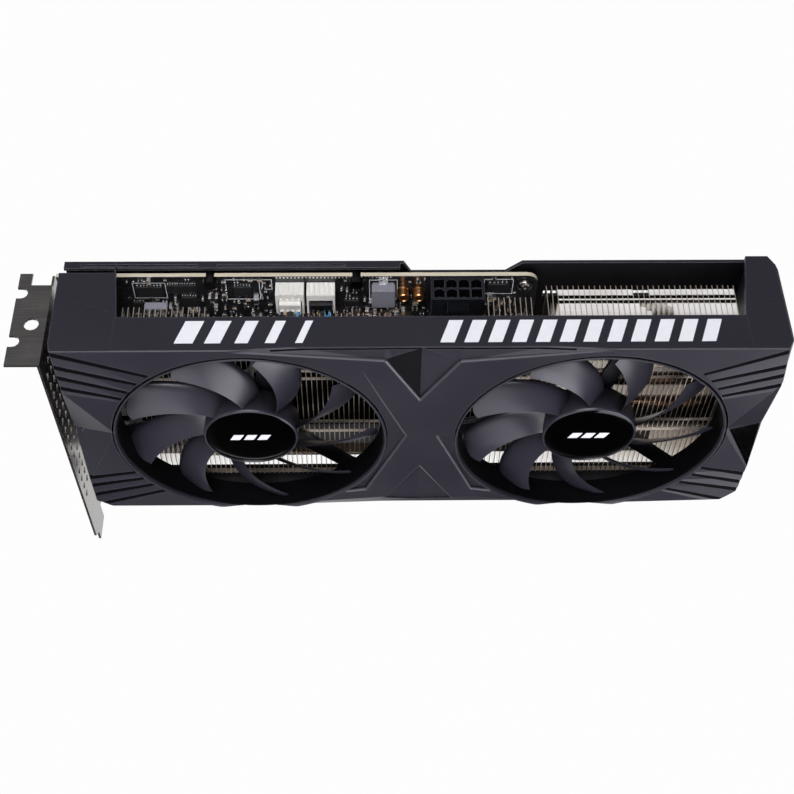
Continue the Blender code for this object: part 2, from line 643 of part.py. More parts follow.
def smooth_route(points, steps):
    """Points on a Catmull-Rom curve through the given ones."""
    ends = [2 * Vector(points[0]) - Vector(points[1])]
    ends += [Vector(p) for p in points]
    ends.append(2 * Vector(points[-1]) - Vector(points[-2]))
    route = []
    for a, b, c, d in zip(ends, ends[1:], ends[2:], ends[3:]):
        for k in range(steps):
            t = k / steps
            square = (2 * a - 5 * b + 4 * c - d) * t ** 2
            cube = (3 * b - a - 3 * c + d) * t ** 3
            route.append(0.5 * (2 * b + (c - a) * t + square + cube))
    route.append(ends[-2])
    return route


def make_lead(side_name):
    """One sleeved fan lead, a round tube along its real route."""
    curve = bpy.data.curves.new(f"fan_lead_{side_name}", "CURVE")
    curve.dimensions = "3D"
    curve.bevel_depth = LEAD_R * MM
    curve.bevel_resolution = 1
    curve.use_fill_caps = True
    spline = curve.splines.new("POLY")
    route = smooth_route(LEAD_ROUTES[side_name], 3)
    spline.points.add(len(route) - 1)
    for point, spot in zip(spline.points, route):
        point.co = (*(spot * MM), 1)
    lead = bpy.data.objects.new(f"fan_lead_{side_name}", curve)
    lead.parent = datum
    curve.materials.append(BLACK_PLASTIC)
    parts.objects.link(lead)


def make_fasteners():
    """Screws and standoffs that hold the cooler, the board and the backplate together."""
    for index, (x, z) in enumerate(cooler_screws(), 1):
        screw = rod(f"cooler_screw_{index}", (x, 0.3, z), SCREW_R, 6.6, "Y", DARK_STEEL, sides=12)
        head = rod(f"screw_head_{index}", (x, 3.1, z), 2.9, 1.6, "Y", collection=tools, sides=16)
        boolean(screw, head, "UNION")
    for index, x in enumerate(STANDOFF_X, 1):
        rod(f"standoff_{index}", (x, -0.3, STANDOFF_Z), 2.2, 5.6, "Y", DARK_STEEL, sides=12)
    screw = rod("tail_screw", (TAIL_SCREW[0], 0.4, TAIL_SCREW[1]), SCREW_R, 4.6, "Y", STEEL, sides=12)
    head = rod("tail_head", (TAIL_SCREW[0], -1.8, TAIL_SCREW[1]), 2.6, 1.4, "Y", collection=tools, sides=16)
    boolean(screw, head, "UNION")


make_board()
make_contacts()
make_ports()
make_bracket()
make_backplate()
make_shroud()
for side_label in FAN_X:
    make_fan(side_label)
    make_lead(side_label)
make_cooler()
make_chips()
make_power_connector()
make_fan_wiring()
make_fasteners()
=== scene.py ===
"""Looks of the dual-fan graphics card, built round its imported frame.

Pieces are modelled in card coordinates and brought to the frame's metres when they are added.
Card coordinates are millimetres: x from the bracket's outer face, y from the board's middle
plane (negative towards the fans), z up from the lower face of the edge connector.
"""

import math
import random

import bmesh
import bpy
from mathutils import Matrix, Vector


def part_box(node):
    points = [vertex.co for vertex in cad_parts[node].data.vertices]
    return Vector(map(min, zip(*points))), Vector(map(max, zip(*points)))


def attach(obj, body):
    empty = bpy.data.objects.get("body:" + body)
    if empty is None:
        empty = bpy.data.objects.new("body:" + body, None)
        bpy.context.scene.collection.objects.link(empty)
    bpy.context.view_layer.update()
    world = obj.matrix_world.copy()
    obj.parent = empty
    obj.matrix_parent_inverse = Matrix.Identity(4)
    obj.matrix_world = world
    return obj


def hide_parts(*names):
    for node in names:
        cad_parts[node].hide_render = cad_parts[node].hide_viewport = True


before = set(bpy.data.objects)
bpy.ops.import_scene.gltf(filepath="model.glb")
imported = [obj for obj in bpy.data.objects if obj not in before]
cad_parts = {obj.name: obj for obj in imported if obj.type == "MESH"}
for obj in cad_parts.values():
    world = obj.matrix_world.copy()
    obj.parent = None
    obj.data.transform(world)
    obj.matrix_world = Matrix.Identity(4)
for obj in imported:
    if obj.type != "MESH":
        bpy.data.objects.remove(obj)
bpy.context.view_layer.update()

BRACKET_T = 0.86
DATUM_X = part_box("io_bracket")[1].x - BRACKET_T / 1000
TO_FRAME = Matrix.Translation((DATUM_X, 0, 0)) @ Matrix.Scale(0.001, 4)


def card_box(node):
    """Lowest and highest corner of a CAD node in card coordinates."""
    low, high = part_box(node)
    back = TO_FRAME.inverted()
    return back @ low, back @ high


SHROUD_LOW, SHROUD_HIGH = card_box("shroud")
FRONT = SHROUD_LOW.y
TOP = SHROUD_HIGH.z
SIDE_Y = FRONT + 4.0  # where the chamfer round the front meets the side walls
STRIP_BACK = -24.7
FAN_X = {
    side: (card_box(f"hub_disc_{side}")[0].x + card_box(f"hub_disc_{side}")[1].x) / 2
    for side in ("left", "right")
}
FAN_Z = (card_box("hub_disc_left")[0].z + card_box("hub_disc_left")[1].z) / 2
DUCT_R = 46.0
HUB_R = 16.4
HUB_FRONT = -card_box("fan_rotor_left")[0].y


# ---------------------------------------------------------------------------- materials


def give(tree, socket, value):
    """Set a socket to a number or colour, or link another node's output to it."""
    if isinstance(value, bpy.types.NodeSocket):
        tree.links.new(value, socket)
    elif socket.type == "RGBA":
        socket.default_value = (*value, 1)
    else:
        socket.default_value = value


def feed(tree, node, **inputs):
    """Give a node's named inputs their values."""
    for name, value in inputs.items():
        give(tree, node.inputs[name.replace("_", " ")], value)


def new_node(tree, kind, **inputs):
    """A new shader node, with its named inputs given their values."""
    node = tree.nodes.new("ShaderNode" + kind)
    feed(tree, node, **inputs)
    return node


def dot_product(tree, first, second):
    """The dot product of two vectors, each a constant or another node's output."""
    node = new_node(tree, "VectorMath")
    node.operation = "DOT_PRODUCT"
    give(tree, node.inputs[0], first)
    give(tree, node.inputs[1], second)
    return node.outputs["Value"]


def map_range(tree, value, low, high, to_low, to_high):
    """Map a value from one range to another, clamped."""
    ends = {"From_Min": low, "From_Max": high, "To_Min": to_low, "To_Max": to_high}
    return new_node(tree, "MapRange", Value=value, **ends).outputs["Result"]


class Finish:
    """A Principled material, with helpers for the procedural nodes that feed it."""

    def __init__(self, name, roughness, metallic=0.0, **sockets):
        self.material = bpy.data.materials.new(name)
        self.material.use_nodes = True
        self.tree = self.material.node_tree
        self.shader = self.tree.nodes["Principled BSDF"]
        self.place = self.node("TexCoord").outputs["Object"]
        self.shade(Roughness=roughness, Metallic=metallic, **sockets)

    def shade(self, **inputs):
        feed(self.tree, self.shader, **inputs)

    def node(self, kind, **inputs):
        return new_node(self.tree, kind, **inputs)

    def stretched(self, factors):
        """The object's coordinates in metres, each axis multiplied by a factor."""
        return self.node("Mapping", Scale=factors, Vector=self.place).outputs["Vector"]

    def noise(self, scale, detail=3.0, stretch=(1, 1, 1)):
        place = self.stretched(stretch)
        return self.node("TexNoise", Scale=scale, Detail=detail, Vector=place).outputs["Fac"]

    def cells(self, scale, feature="F1", stretch=(1, 1, 1)):
        node = self.node("TexVoronoi", Scale=scale, Vector=self.stretched(stretch))
        node.feature = feature
        return node.outputs["Distance"]

    def maths(self, operation, first, second=0.5):
        node = self.node("Math")
        node.operation = operation
        give(self.tree, node.inputs[0], first)
        give(self.tree, node.inputs[1], second)
        return node.outputs[0]

    def span(self, value, *ends):
        return map_range(self.tree, value, *ends)

    def blend(self, share, first, second):
        """A colour between two others, each a colour or another node's output."""
        node = self.node("Mix")
        node.data_type = "RGBA"
        for place, value in ((0, share), (6, first), (7, second)):
            give(self.tree, node.inputs[place], value)
        return node.outputs[2]

    def normal(self):
        return self.node("NewGeometry").outputs["Normal"]

    def facing(self, axis):
        """Share that is 1 on faces square to an axis and 0 on the others."""
        split = self.node("SeparateXYZ", Vector=self.normal())
        return self.span(self.maths("ABSOLUTE", split.outputs[axis]), 0.4, 0.6, 0, 1)

    def edges(self, width):
        """Share that rises from 0 on flat faces to 1 along sharp edges and creases; painted highlights are
        laid by it.
        """
        rounded = self.node("Bevel", Radius=width)
        rounded.samples = 6
        match = dot_product(self.tree, rounded.outputs["Normal"], self.normal())
        return self.span(match, 0.995, 0.93, 0, 1)

    def painted_shade_share(self, reach):
        """Share of painted shade, from ambient occlusion: rises from 0 in the open to 1 deep in corners and
        slots.
        """
        shade = self.node("AmbientOcclusion", Distance=reach)
        shade.samples = 6
        return self.span(shade.outputs["AO"], 0.45, 0.9, 1, 0)

    def bump(self, height, strength, distance):
        node = self.node("Bump", Strength=strength, Distance=distance, Height=height)
        self.shade(Normal=node.outputs["Normal"])


def scaled(colour, share):
    return tuple(share * part for part in colour)


def moulded_plastic(name, dark, light, rough, grain=0.25, rim=None, highlight_width=0.0005, shine=0.5):
    """Satin moulded plastic: fine spark-eroded grain, slow changes of tone, and, with a rim colour, painted
    highlights along edges and painted shade in corners and slots.
    """
    finish = Finish(name, sum(rough) / 2, Specular_IOR_Level=shine)
    slow = finish.noise(35, 4)
    tone = finish.blend(slow, dark, light)
    if rim:
        # painted highlight: the rim colour laid along sharp edges and creases
        tone = finish.blend(finish.edges(highlight_width), tone, rim)
        # painted shade: darker deep in corners and slots, at a short and a long reach
        for reach, share in ((0.0018, 0.15), (0.016, 0.2)):
            tone = finish.blend(finish.painted_shade_share(reach), tone, scaled(dark, share))
    finish.shade(Base_Color=tone, Roughness=finish.span(slow, 0.3, 0.7, *rough))
    finish.bump(finish.noise(5200, 2), grain, 0.00004)
    return finish.material


def gloss_black(name):
    """Polished black disc under a clear coat, with hair-fine turning marks."""
    finish = Finish(name, 0.12, Coat_Weight=0.25, Coat_Roughness=0.03, IOR=1.45, Specular_IOR_Level=0.12)
    marks = finish.noise(900, 3, (1, 0.05, 1))
    tone = finish.blend(marks, (0.0003, 0.0003, 0.0004), (0.0008, 0.0008, 0.001))
    finish.shade(Base_Color=tone, Roughness=finish.span(marks, 0.3, 0.7, 0.08, 0.16))
    finish.bump(marks, 0.02, 0.00001)
    return finish.material


def rolled_metal(name, dark, light, rough, stretch, streak=0.12, metallic=1.0):
    """Sheet or drawn metal: long fine streaks along the way it was rolled."""
    finish = Finish(name, sum(rough) / 2, metallic)
    streaks = finish.noise(1500, 4, stretch)
    both = finish.maths("MULTIPLY", finish.maths("ADD", streaks, finish.noise(60, 3)), 0.5)
    tone = finish.blend(finish.span(both, 0.35, 0.65, 0, 1), dark, light)
    finish.shade(Base_Color=tone, Roughness=finish.span(both, 0.35, 0.65, *rough))
    finish.bump(streaks, streak, 0.00002)
    return finish.material


def fin_sheet(name):
    """Bright rolled fins: smooth mirror-like sides, and duller sheared edges with a painted highlight, a
    lighter warmer colour than the sides.
    """
    finish = Finish(name, 0.15, 1.0)
    streaks = finish.noise(1500, 4, (1, 1, 0.06))
    side = finish.facing("X")
    # painted highlight: the sheared edges get a lighter, warmer colour than the sides
    highlighted_edge = finish.blend(streaks, (0.66, 0.57, 0.47), (0.86, 0.77, 0.66))
    sheet = finish.blend(streaks, (0.50, 0.46, 0.42), (0.66, 0.62, 0.58))
    finish.shade(Base_Color=finish.blend(side, highlighted_edge, sheet), Roughness=finish.span(side, 0, 1, 0.5, 0.12))
    finish.bump(streaks, 0.08, 0.00001)
    return finish.material


def painted_plate(name):
    """Black powder paint on sheet metal: soft orange peel and faint scuffs, with painted shade in corners and
    slots and painted highlight lines along edges.
    """
    finish = Finish(name, 0.45, Specular_IOR_Level=0.25)
    scuff = finish.noise(240, 5, (1, 1, 0.15))
    worn = finish.span(scuff, 0.6, 0.75, 0, 1)
    paint = finish.blend(worn, (0.022, 0.022, 0.028), (0.032, 0.032, 0.040))
    # painted shade: near black deep in corners and slots
    paint = finish.blend(finish.painted_shade_share(0.02), paint, (0.0005, 0.0005, 0.0008))
    # painted highlight: pale lines along sharp edges
    paint = finish.blend(finish.edges(0.0003), paint, (0.16, 0.16, 0.19))
    finish.shade(Base_Color=paint, Roughness=finish.span(scuff, 0.3, 0.75, 0.42, 0.55))
    finish.bump(finish.noise(1800, 3), 0.3, 0.00005)
    return finish.material


def solder_mask(name):
    """Black board: lacquered faces over a maze of copper tracks, and pale laminate edges."""
    finish = Finish(name, 0.3, Coat_Weight=0.4, Coat_Roughness=0.12)
    raised = finish.span(finish.cells(420, "DISTANCE_TO_EDGE", (1, 0, 1)), 0.03, 0.09, 1, 0)
    vias = finish.span(finish.cells(900, "F1", (1, 0, 1)), 0.1, 0.16, 1, 0)
    face = finish.blend(raised, (0.006, 0.007, 0.008), (0.018, 0.020, 0.022))
    face = finish.blend(vias, face, (0.16, 0.15, 0.12))
    layers = finish.noise(700, 2, (0.2, 9, 0.2))
    edge = finish.blend(layers, (0.42, 0.36, 0.24), (0.86, 0.80, 0.66))
    flat = finish.facing("Y")
    finish.shade(Base_Color=finish.blend(flat, edge, face), Roughness=finish.span(flat, 0, 1, 0.7, 0.28))
    finish.bump(raised, 0.5, 0.00004)
    return finish.material


def braided_sleeve(name):
    """Woven black sleeve: two sets of threads crossing round the lead."""
    finish = Finish(name, 0.6, Sheen_Weight=0.3, Sheen_Roughness=0.4)
    weave = finish.node("TexChecker", Scale=1500, Vector=finish.stretched((1, 1, 1)))
    threads = finish.noise(4000, 2)
    lift = finish.maths("MULTIPLY", weave.outputs["Fac"], threads)
    tone = finish.blend(lift, (0.006, 0.006, 0.007), (0.035, 0.035, 0.04))
    finish.shade(Base_Color=tone, Roughness=finish.span(threads, 0.3, 0.7, 0.5, 0.75))
    finish.bump(lift, 0.6, 0.0001)
    return finish.material


def cast_block(name, dark, light):
    """Pressed powder block, such as a choke: coarse grain and small pits."""
    finish = Finish(name, 0.6)
    grain = finish.noise(1500, 4)
    rough = finish.span(grain, 0.3, 0.7, 0.5, 0.75)
    finish.shade(Base_Color=finish.blend(grain, dark, light), Roughness=rough)
    finish.bump(finish.cells(1400), 0.35, 0.00008)
    return finish.material


def printed_ink(name):
    """White pad-printed ink, very slightly uneven."""
    finish = Finish(name, 0.5)
    patch = finish.noise(500, 3)
    tone = finish.blend(patch, (0.80, 0.82, 0.86), (0.90, 0.91, 0.94))
    finish.shade(Base_Color=tone, Roughness=finish.span(patch, 0.3, 0.7, 0.42, 0.6))
    finish.bump(finish.noise(2600, 2), 0.1, 0.00002)
    return finish.material


def wire_jacket(name, colour):
    """Soft coloured insulation with a slight ripple along the wire."""
    finish = Finish(name, 0.35)
    ripple = finish.noise(1800, 2)
    finish.shade(Base_Color=finish.blend(ripple, scaled(colour, 0.7), colour))
    finish.bump(ripple, 0.2, 0.00005)
    return finish.material


ALONG_X, ALONG_Y, ALONG_Z = (0.05, 1, 1), (1, 0.1, 1), (1, 1, 0.08)  # ways that metal was drawn
EVEN = (1, 1, 1)

# The rim colour paints highlights along edges, and with it comes painted shade in corners and slots
SHROUD = moulded_plastic("satin_shroud", (0.017, 0.016, 0.024), (0.022, 0.021, 0.030), (0.36, 0.46),
                         rim=(0.060, 0.059, 0.072))
# A near-black finish for the sheet that paints the shade on the V pocket's left facet
SHADE_FACET = moulded_plastic("shade_facet", (0.004, 0.004, 0.005), (0.006, 0.006, 0.007), (0.42, 0.5), 0.15,
                        shine=0.06)
# The rim colour paints highlights along the blades' edges, with painted shade in their corners
BLADE = moulded_plastic("satin_blade", (0.024, 0.023, 0.034), (0.030, 0.029, 0.041), (0.28, 0.34), 0.12,
                        rim=(0.045, 0.044, 0.056), highlight_width=0.0003)
# A lighter copy of the shroud plastic that paints highlights on the X's edges
HIGHLIGHT_EDGE = moulded_plastic("highlight_edge", (0.045, 0.044, 0.055), (0.060, 0.058, 0.072), (0.3, 0.4), 0.12)
# A near-black finish that paints shade: in the ducts, in the grooves and between the fins
SHADE_LINER = moulded_plastic("shade_liner", (0.001, 0.001, 0.0015), (0.002, 0.002, 0.003), (0.55, 0.7), 0.12,
                        shine=0.06)
# The rim colour paints highlights along edges, with painted shade in corners and slots
BLACK = moulded_plastic("black_nylon", (0.006, 0.007, 0.010), (0.011, 0.012, 0.017), (0.3, 0.42), 0.2,
                        rim=(0.07, 0.075, 0.095), highlight_width=0.0003)
WHITE = moulded_plastic("white_nylon", (0.72, 0.71, 0.66), (0.86, 0.85, 0.80), (0.35, 0.5), 0.2)
DISC = gloss_black("gloss_disc")
MASK = solder_mask("solder_mask")
PAINT = painted_plate("powder_paint")
SLEEVE = braided_sleeve("braided_sleeve")
CHOKE = cast_block("choke_powder", (0.17, 0.17, 0.20), (0.27, 0.27, 0.31))
FERRITE = cast_block("ferrite", (0.020, 0.020, 0.022), (0.045, 0.045, 0.048))
PAD = cast_block("thermal_pad", (0.20, 0.23, 0.28), (0.29, 0.33, 0.39))
CHIP = moulded_plastic("chip_epoxy", (0.008, 0.008, 0.009), (0.014, 0.014, 0.015), (0.42, 0.55), 0.35)
INK = printed_ink("white_ink")
STEEL = rolled_metal("plated_steel", (0.25, 0.235, 0.225), (0.37, 0.355, 0.335), (0.22, 0.36), ALONG_X)
DARK_STEEL = rolled_metal("dark_steel", (0.05, 0.05, 0.052), (0.10, 0.10, 0.10), (0.28, 0.4), ALONG_Y)
FINS = fin_sheet("fin_sheet")
BRIGHT = rolled_metal("bright_sheet", (0.84, 0.81, 0.77), (0.98, 0.96, 0.92), (0.42, 0.55), (0.06, 1, 1),
                      metallic=0.15)
COPPER = rolled_metal("copper", (0.44, 0.26, 0.18), (0.66, 0.42, 0.30), (0.2, 0.35), (0.06, 1, 1))
GOLD = rolled_metal("contact_gold", (0.70, 0.46, 0.16), (0.92, 0.66, 0.30), (0.16, 0.28), ALONG_Z)
BRONZE = rolled_metal("bearing_bronze", (0.36, 0.22, 0.10), (0.52, 0.34, 0.17), (0.3, 0.45), ALONG_Y)
SOLDER = rolled_metal("solder", (0.55, 0.55, 0.56), (0.86, 0.86, 0.86), (0.15, 0.35), EVEN, 0.3)
CERAMIC = cast_block("ceramic_tan", (0.30, 0.20, 0.12), (0.46, 0.34, 0.22))
ORANGE = rolled_metal("can_orange", (0.45, 0.20, 0.08), (0.72, 0.36, 0.16), (0.25, 0.4), EVEN)
WIRES = {
    "black": wire_jacket("wire_black", (0.012, 0.012, 0.014)),
    "yellow": wire_jacket("wire_yellow", (0.75, 0.52, 0.10)),
    "green": wire_jacket("wire_green", (0.10, 0.42, 0.30)),
    "blue": wire_jacket("wire_blue", (0.03, 0.28, 0.62)),
}


# ---------------------------------------------------------------------------- mesh building


def block(bm, low, high):
    """Add a box between two corners."""
    middle = [(a + b) / 2 for a, b in zip(low, high)]
    size = [b - a for a, b in zip(low, high)]
    matrix = Matrix.Translation(middle) @ Matrix.Diagonal((*size, 1))
    bmesh.ops.create_cube(bm, size=1, matrix=matrix)


AXIS_PLACES = {
    "X": lambda u, v, w: (w, u, v),
    "Y": lambda u, v, w: (u, w, v),
    "Z": lambda u, v, w: (u, v, w),
}


def skin(bm, rings, caps=True):
    """Join rings of vertices with faces, a ring of one vertex being a point, and close both ends."""
    faces = [bm.faces.new(ring) for ring in (rings[0], rings[-1]) if caps]
    for near, far in zip(rings, rings[1:]):
        sides = max(len(near), len(far))
        for k in range(sides):
            after = (k + 1) % sides
            corners = (near[k % len(near)], far[k % len(far)], far[after % len(far)], near[after % len(near)])
            corners = list(dict.fromkeys(corners))
            if len(corners) > 2:
                faces.append(bm.faces.new(corners))
    bmesh.ops.recalc_face_normals(bm, faces=faces)


def prism(bm, outline, axis, low, high):
    """Add a flat outline given thickness; its points are (y, z), (x, z) or (x, y)."""
    spot = AXIS_PLACES[axis]
    skin(bm, [[bm.verts.new(spot(u, v, w)) for u, v in outline] for w in (low, high)])


def hull(points):
    """A bmesh with the convex solid round some points."""
    bm = bmesh.new()
    for point in points:
        bm.verts.new(point)
    found = bmesh.ops.convex_hull(bm, input=bm.verts)
    inside = [item for item in found["geom_interior"] if isinstance(item, bmesh.types.BMVert)]
    bmesh.ops.delete(bm, geom=inside, context="VERTS")
    bmesh.ops.recalc_face_normals(bm, faces=bm.faces)
    return bm


def lathe(bm, profile, centre, steps, closed=False):
    """Add a solid turned about a fan's axis from (radius, height in front of the board) points."""
    rings = []
    for radius, height in profile:
        ring = []
        for k in range(steps if radius > 0 else 1):
            angle = 2 * math.pi * k / steps
            x = centre[0] + radius * math.cos(angle)
            z = centre[1] + radius * math.sin(angle)
            ring.append(bm.verts.new((x, -height, z)))
        rings.append(ring)
    skin(bm, rings + rings[:1] if closed else rings, False)


def tube(bm, route, radius, sides=10):
    """Add a round tube along some points, with flat ends."""
    rings = []
    side = Vector((0, 0, 1))
    for k, spot in enumerate(route):
        ahead = route[min(k + 1, len(route) - 1)] - route[max(k - 1, 0)]
        ahead.normalize()
        side = (side - ahead * side.dot(ahead)).normalized()
        across = ahead.cross(side)
        turns = [2 * math.pi * j / sides for j in range(sides)]
        rings.append([
            bm.verts.new(spot + radius * (math.cos(turn) * side + math.sin(turn) * across)) for turn in turns
        ])
    skin(bm, rings)


def smooth_route(points, steps):
    """Points on a Catmull-Rom curve through the given ones."""
    ends = [2 * Vector(points[0]) - Vector(points[1])]
    ends += [Vector(point) for point in points]
    ends.append(2 * Vector(points[-1]) - Vector(points[-2]))
    route = []
    for a, b, c, d in zip(ends, ends[1:], ends[2:], ends[3:]):
        for k in range(steps):
            t = k / steps
            square = (2 * a - 5 * b + 4 * c - d) * t ** 2
            cube = (3 * b - a - 3 * c + d) * t ** 3
            route.append(0.5 * (2 * b + (c - a) * t + square + cube))
    route.append(ends[-2])
    return route


def place_object(name, data):
    """A new object in the scene with this mesh, light or camera."""
    item = bpy.data.objects.new(name, data)
    bpy.context.scene.collection.objects.link(item)
    return item


def as_mesh(name, bm):
    """Turn a bmesh into a mesh."""
    mesh = bpy.data.meshes.new(name)
    bm.to_mesh(mesh)
    bm.free()
    return mesh


def carve(base, *steps):
    """A new bmesh: the base with each (operation, bmesh) applied by a boolean."""
    holder = place_object("carved", as_mesh("carved", base))
    tools = []
    for operation, shape in steps:
        tools.append(place_object("tool", as_mesh("tool", shape)))
        modifier = holder.modifiers.new("carve", "BOOLEAN")
        modifier.operation = operation
        modifier.object = tools[-1]
        modifier.solver = "MANIFOLD"
    graph = bpy.context.evaluated_depsgraph_get()
    result = bmesh.new()
    result.from_mesh(bpy.data.meshes.new_from_object(holder.evaluated_get(graph)))
    for item in tools + [holder]:
        bpy.data.objects.remove(item, do_unlink=True)
    return result


def new_shape(maker, *args):
    """A bmesh filled by one of the building functions."""
    bm = bmesh.new()
    maker(bm, *args)
    return bm


def cut(shape, *args):
    """A boolean step that takes away a bmesh, or what a building function makes."""
    return ("DIFFERENCE", new_shape(shape, *args) if args else shape)


def join(shape, *args):
    """A boolean step that adds a bmesh, or what a building function makes."""
    return ("UNION", new_shape(shape, *args) if args else shape)


def add_piece(name, bm, material, body="root", bevel=0.0, segments=2, crease=35, replaces=()):
    """Bring a shape to the frame, give it its finish, and let it ride on a body."""
    piece = place_object(name, as_mesh(name, bm))
    piece.data.transform(TO_FRAME)
    dress(piece, material, bevel, segments, crease)
    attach(piece, body)
    if replaces:
        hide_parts(*replaces)


def dress(piece, material, bevel=0.0, segments=2, crease=35):
    """Give a piece its finish, with small rounded edges or sharp creases."""
    piece.data.materials.clear()
    piece.data.materials.append(material)
    piece.data.shade_smooth()
    if not bevel:
        piece.data.set_sharp_from_angle(angle=math.radians(crease))
        return
    edges = piece.modifiers.new("soft_edges", "BEVEL")
    edges.width = bevel * 0.001
    edges.segments = segments
    edges.limit_method = "ANGLE"
    edges.angle_limit = math.radians(crease)
    edges.miter_outer = "MITER_ARC"
    shading = piece.modifiers.new("flat_faces", "WEIGHTED_NORMAL")
    shading.keep_sharp = False


def finish_nodes(nodes, material, bevel=0.0, segments=2):
    """Give CAD nodes that keep their shape their finish."""
    for node in nodes:
        dress(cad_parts[node], material, bevel, segments)


# ---------------------------------------------------------------------------- shroud

# Lines where the grooves at each corner of the shroud start, top to bottom: (x, z) outer, inner
GROOVES = {
    "upper_left": (((6.4, 119.3), (36.3, 106.4)), ((4.0, 113.3), (31.9, 102.3)),
                   ((4.0, 107.8), (29.4, 97.3)), ((4.0, 101.9), (25.6, 94.1))),
    "upper_right": (((245.0, 120.5), (216.0, 106.0)), ((246.0, 112.3), (219.4, 102.3)),
                    ((246.0, 107.2), (222.5, 97.9)), ((246.0, 101.5), (225.0, 94.0))),
    "lower_left": (((4.0, 45.1), (25.0, 49.0)), ((4.0, 39.8), (29.4, 45.4)),
                   ((4.0, 33.3), (33.0, 41.6)), ((4.0, 25.9), (35.6, 37.3))),
    "lower_right": (((246.0, 44.7), (225.0, 49.8)), ((246.0, 39.2), (221.9, 45.4)),
                    ((246.0, 33.9), (218.0, 40.4)), ((246.0, 25.1), (213.8, 36.0))),
}
GROOVE_DEPTH = 1.1
BELOW_LAST = 4.6  # how far under the last line its groove ends
SHADE_STRIP_WIDE = 2.6
EDGE_WIDE = 0.55
FLOOR_BACK = -19.0
WALL = 2.0
RING_SHIFT = 1.0  # how far the cover's opening sits above the ring of each fan
CLEAR_R = 47.8  # clears the ring of each fan
ROUND = 128  # sides of the large circles
RIM_Z = TOP + 1  # above the top edge, so that a pocket runs out through it

# Corners of the pockets in the front face, and of the black insets, the V's inset being painted shade: (x, z,
# depth)
V_LEFT, V_RIGHT = (112.5, 113.3, 0.9), (136.9, 112.8, 0.9)
V_CREASE = ((124.3, 118.8, 3.9), (124.3, 91.0, 0.95))
POCKETS = (
    # beside the V, and the V itself
    ((64, 118.4, 0.02), V_LEFT, (112.5, RIM_Z, 1.4), (78, RIM_Z, 1.4), (62, RIM_Z, 0.02)),
    ((185.5, 118.6, 0.02), V_RIGHT, (136.9, RIM_Z, 1.4), (171, RIM_Z, 1.4), (187, RIM_Z, 0.02)),
    ((124.3, 91, 0.9), V_LEFT, (112.5, RIM_Z, 1.4), (136.9, RIM_Z, 1.4), V_RIGHT),
    (V_LEFT, *V_CREASE),
    (V_RIGHT, *V_CREASE),
    # left and right of the raised X, and under it
    ((105.6, 107.5, 0.1), (120.3, 70.4, 0.55), (106.3, 34.5, 1.2), (87.5, 31.0, 1.2), (66.3, 67.5, 0.6)),
    ((130.4, 70.4, 0.5), (144.4, 34.5, 1.2), (163.0, 31.0, 1.2), (184.1, 67.5, 0.1)),
    ((125.2, 51.6, 0.3), (112.5, 28.0, 1.1), (125.2, 26.0, 1.9), (138.0, 28.0, 1.1)),
    # facets at the two ends
    ((20.0, 73.0, 0.02), (3.0, 103.2, 0.3), (3.0, 69.0, 6.1), (3.0, 34.8, 0.3)),
    ((230.0, 73.0, 0.02), (247.0, 105.8, 0.3), (247.0, 71.0, 5.2), (247.0, 41.7, 0.3)),
)
INSETS = (
    # painted shade: a near-black sheet on the V pocket's left half
    ("v_pocket_shade", SHADE_FACET, "shroud_plastic", (V_LEFT, *V_CREASE)),
    ("end_inset", DISC, "gloss_disc", ((232.2, 72.4, 0.55), (243.7, 71.3, 4.1), (243.7, 48.6, 0.45))),
)

# Edges of the raised X, each running so that the lower ground lies on its left: (x, z) points
X_EDGES = (
    ((62.0, 118.6), (112.5, 113.3), (124.3, 91.0), (136.9, 112.8), (187.5, 118.7)),
    ((87.5, 31.0), (106.3, 34.5), (120.3, 70.4), (105.6, 107.5)),
    ((184.1, 67.5), (163.0, 31.0)),
    ((130.4, 70.4), (144.4, 34.5), (163.0, 31.0)),
    ((138.0, 28.6), (125.2, 51.6), (112.5, 28.6)),
)


def layered(corners, above, below):
    """The solid between two offsets from the depths under the front face of (x, z, depth) corners."""
    return hull([(x, FRONT + depth + offset, z) for x, z, depth in corners for offset in (above, below)])


def pocket(corners):
    """A convex cutter let into the front face from (x, z, depth) corners."""
    bottom = [(x, FRONT + depth, z) for x, z, depth in corners]
    return hull(bottom + [(x, FRONT - 2, z) for x, z, depth in corners])


def grooves(lines):
    """Stepped grooves: each is deepest at its own line and climbs back to the face by the next."""
    outer, inner = lines[-1]
    last = ((outer[0], outer[1] - BELOW_LAST), (inner[0], inner[1] - BELOW_LAST * 0.6))
    cuts = []
    for (outer, inner), (next_outer, next_inner) in zip(lines, (*lines[1:], last)):
        corners = [(*outer, GROOVE_DEPTH), (*inner, GROOVE_DEPTH * 0.35)]
        cuts.append(cut(pocket(corners + [(*next_inner, 0.02), (*next_outer, 0.02)])))
    return cuts


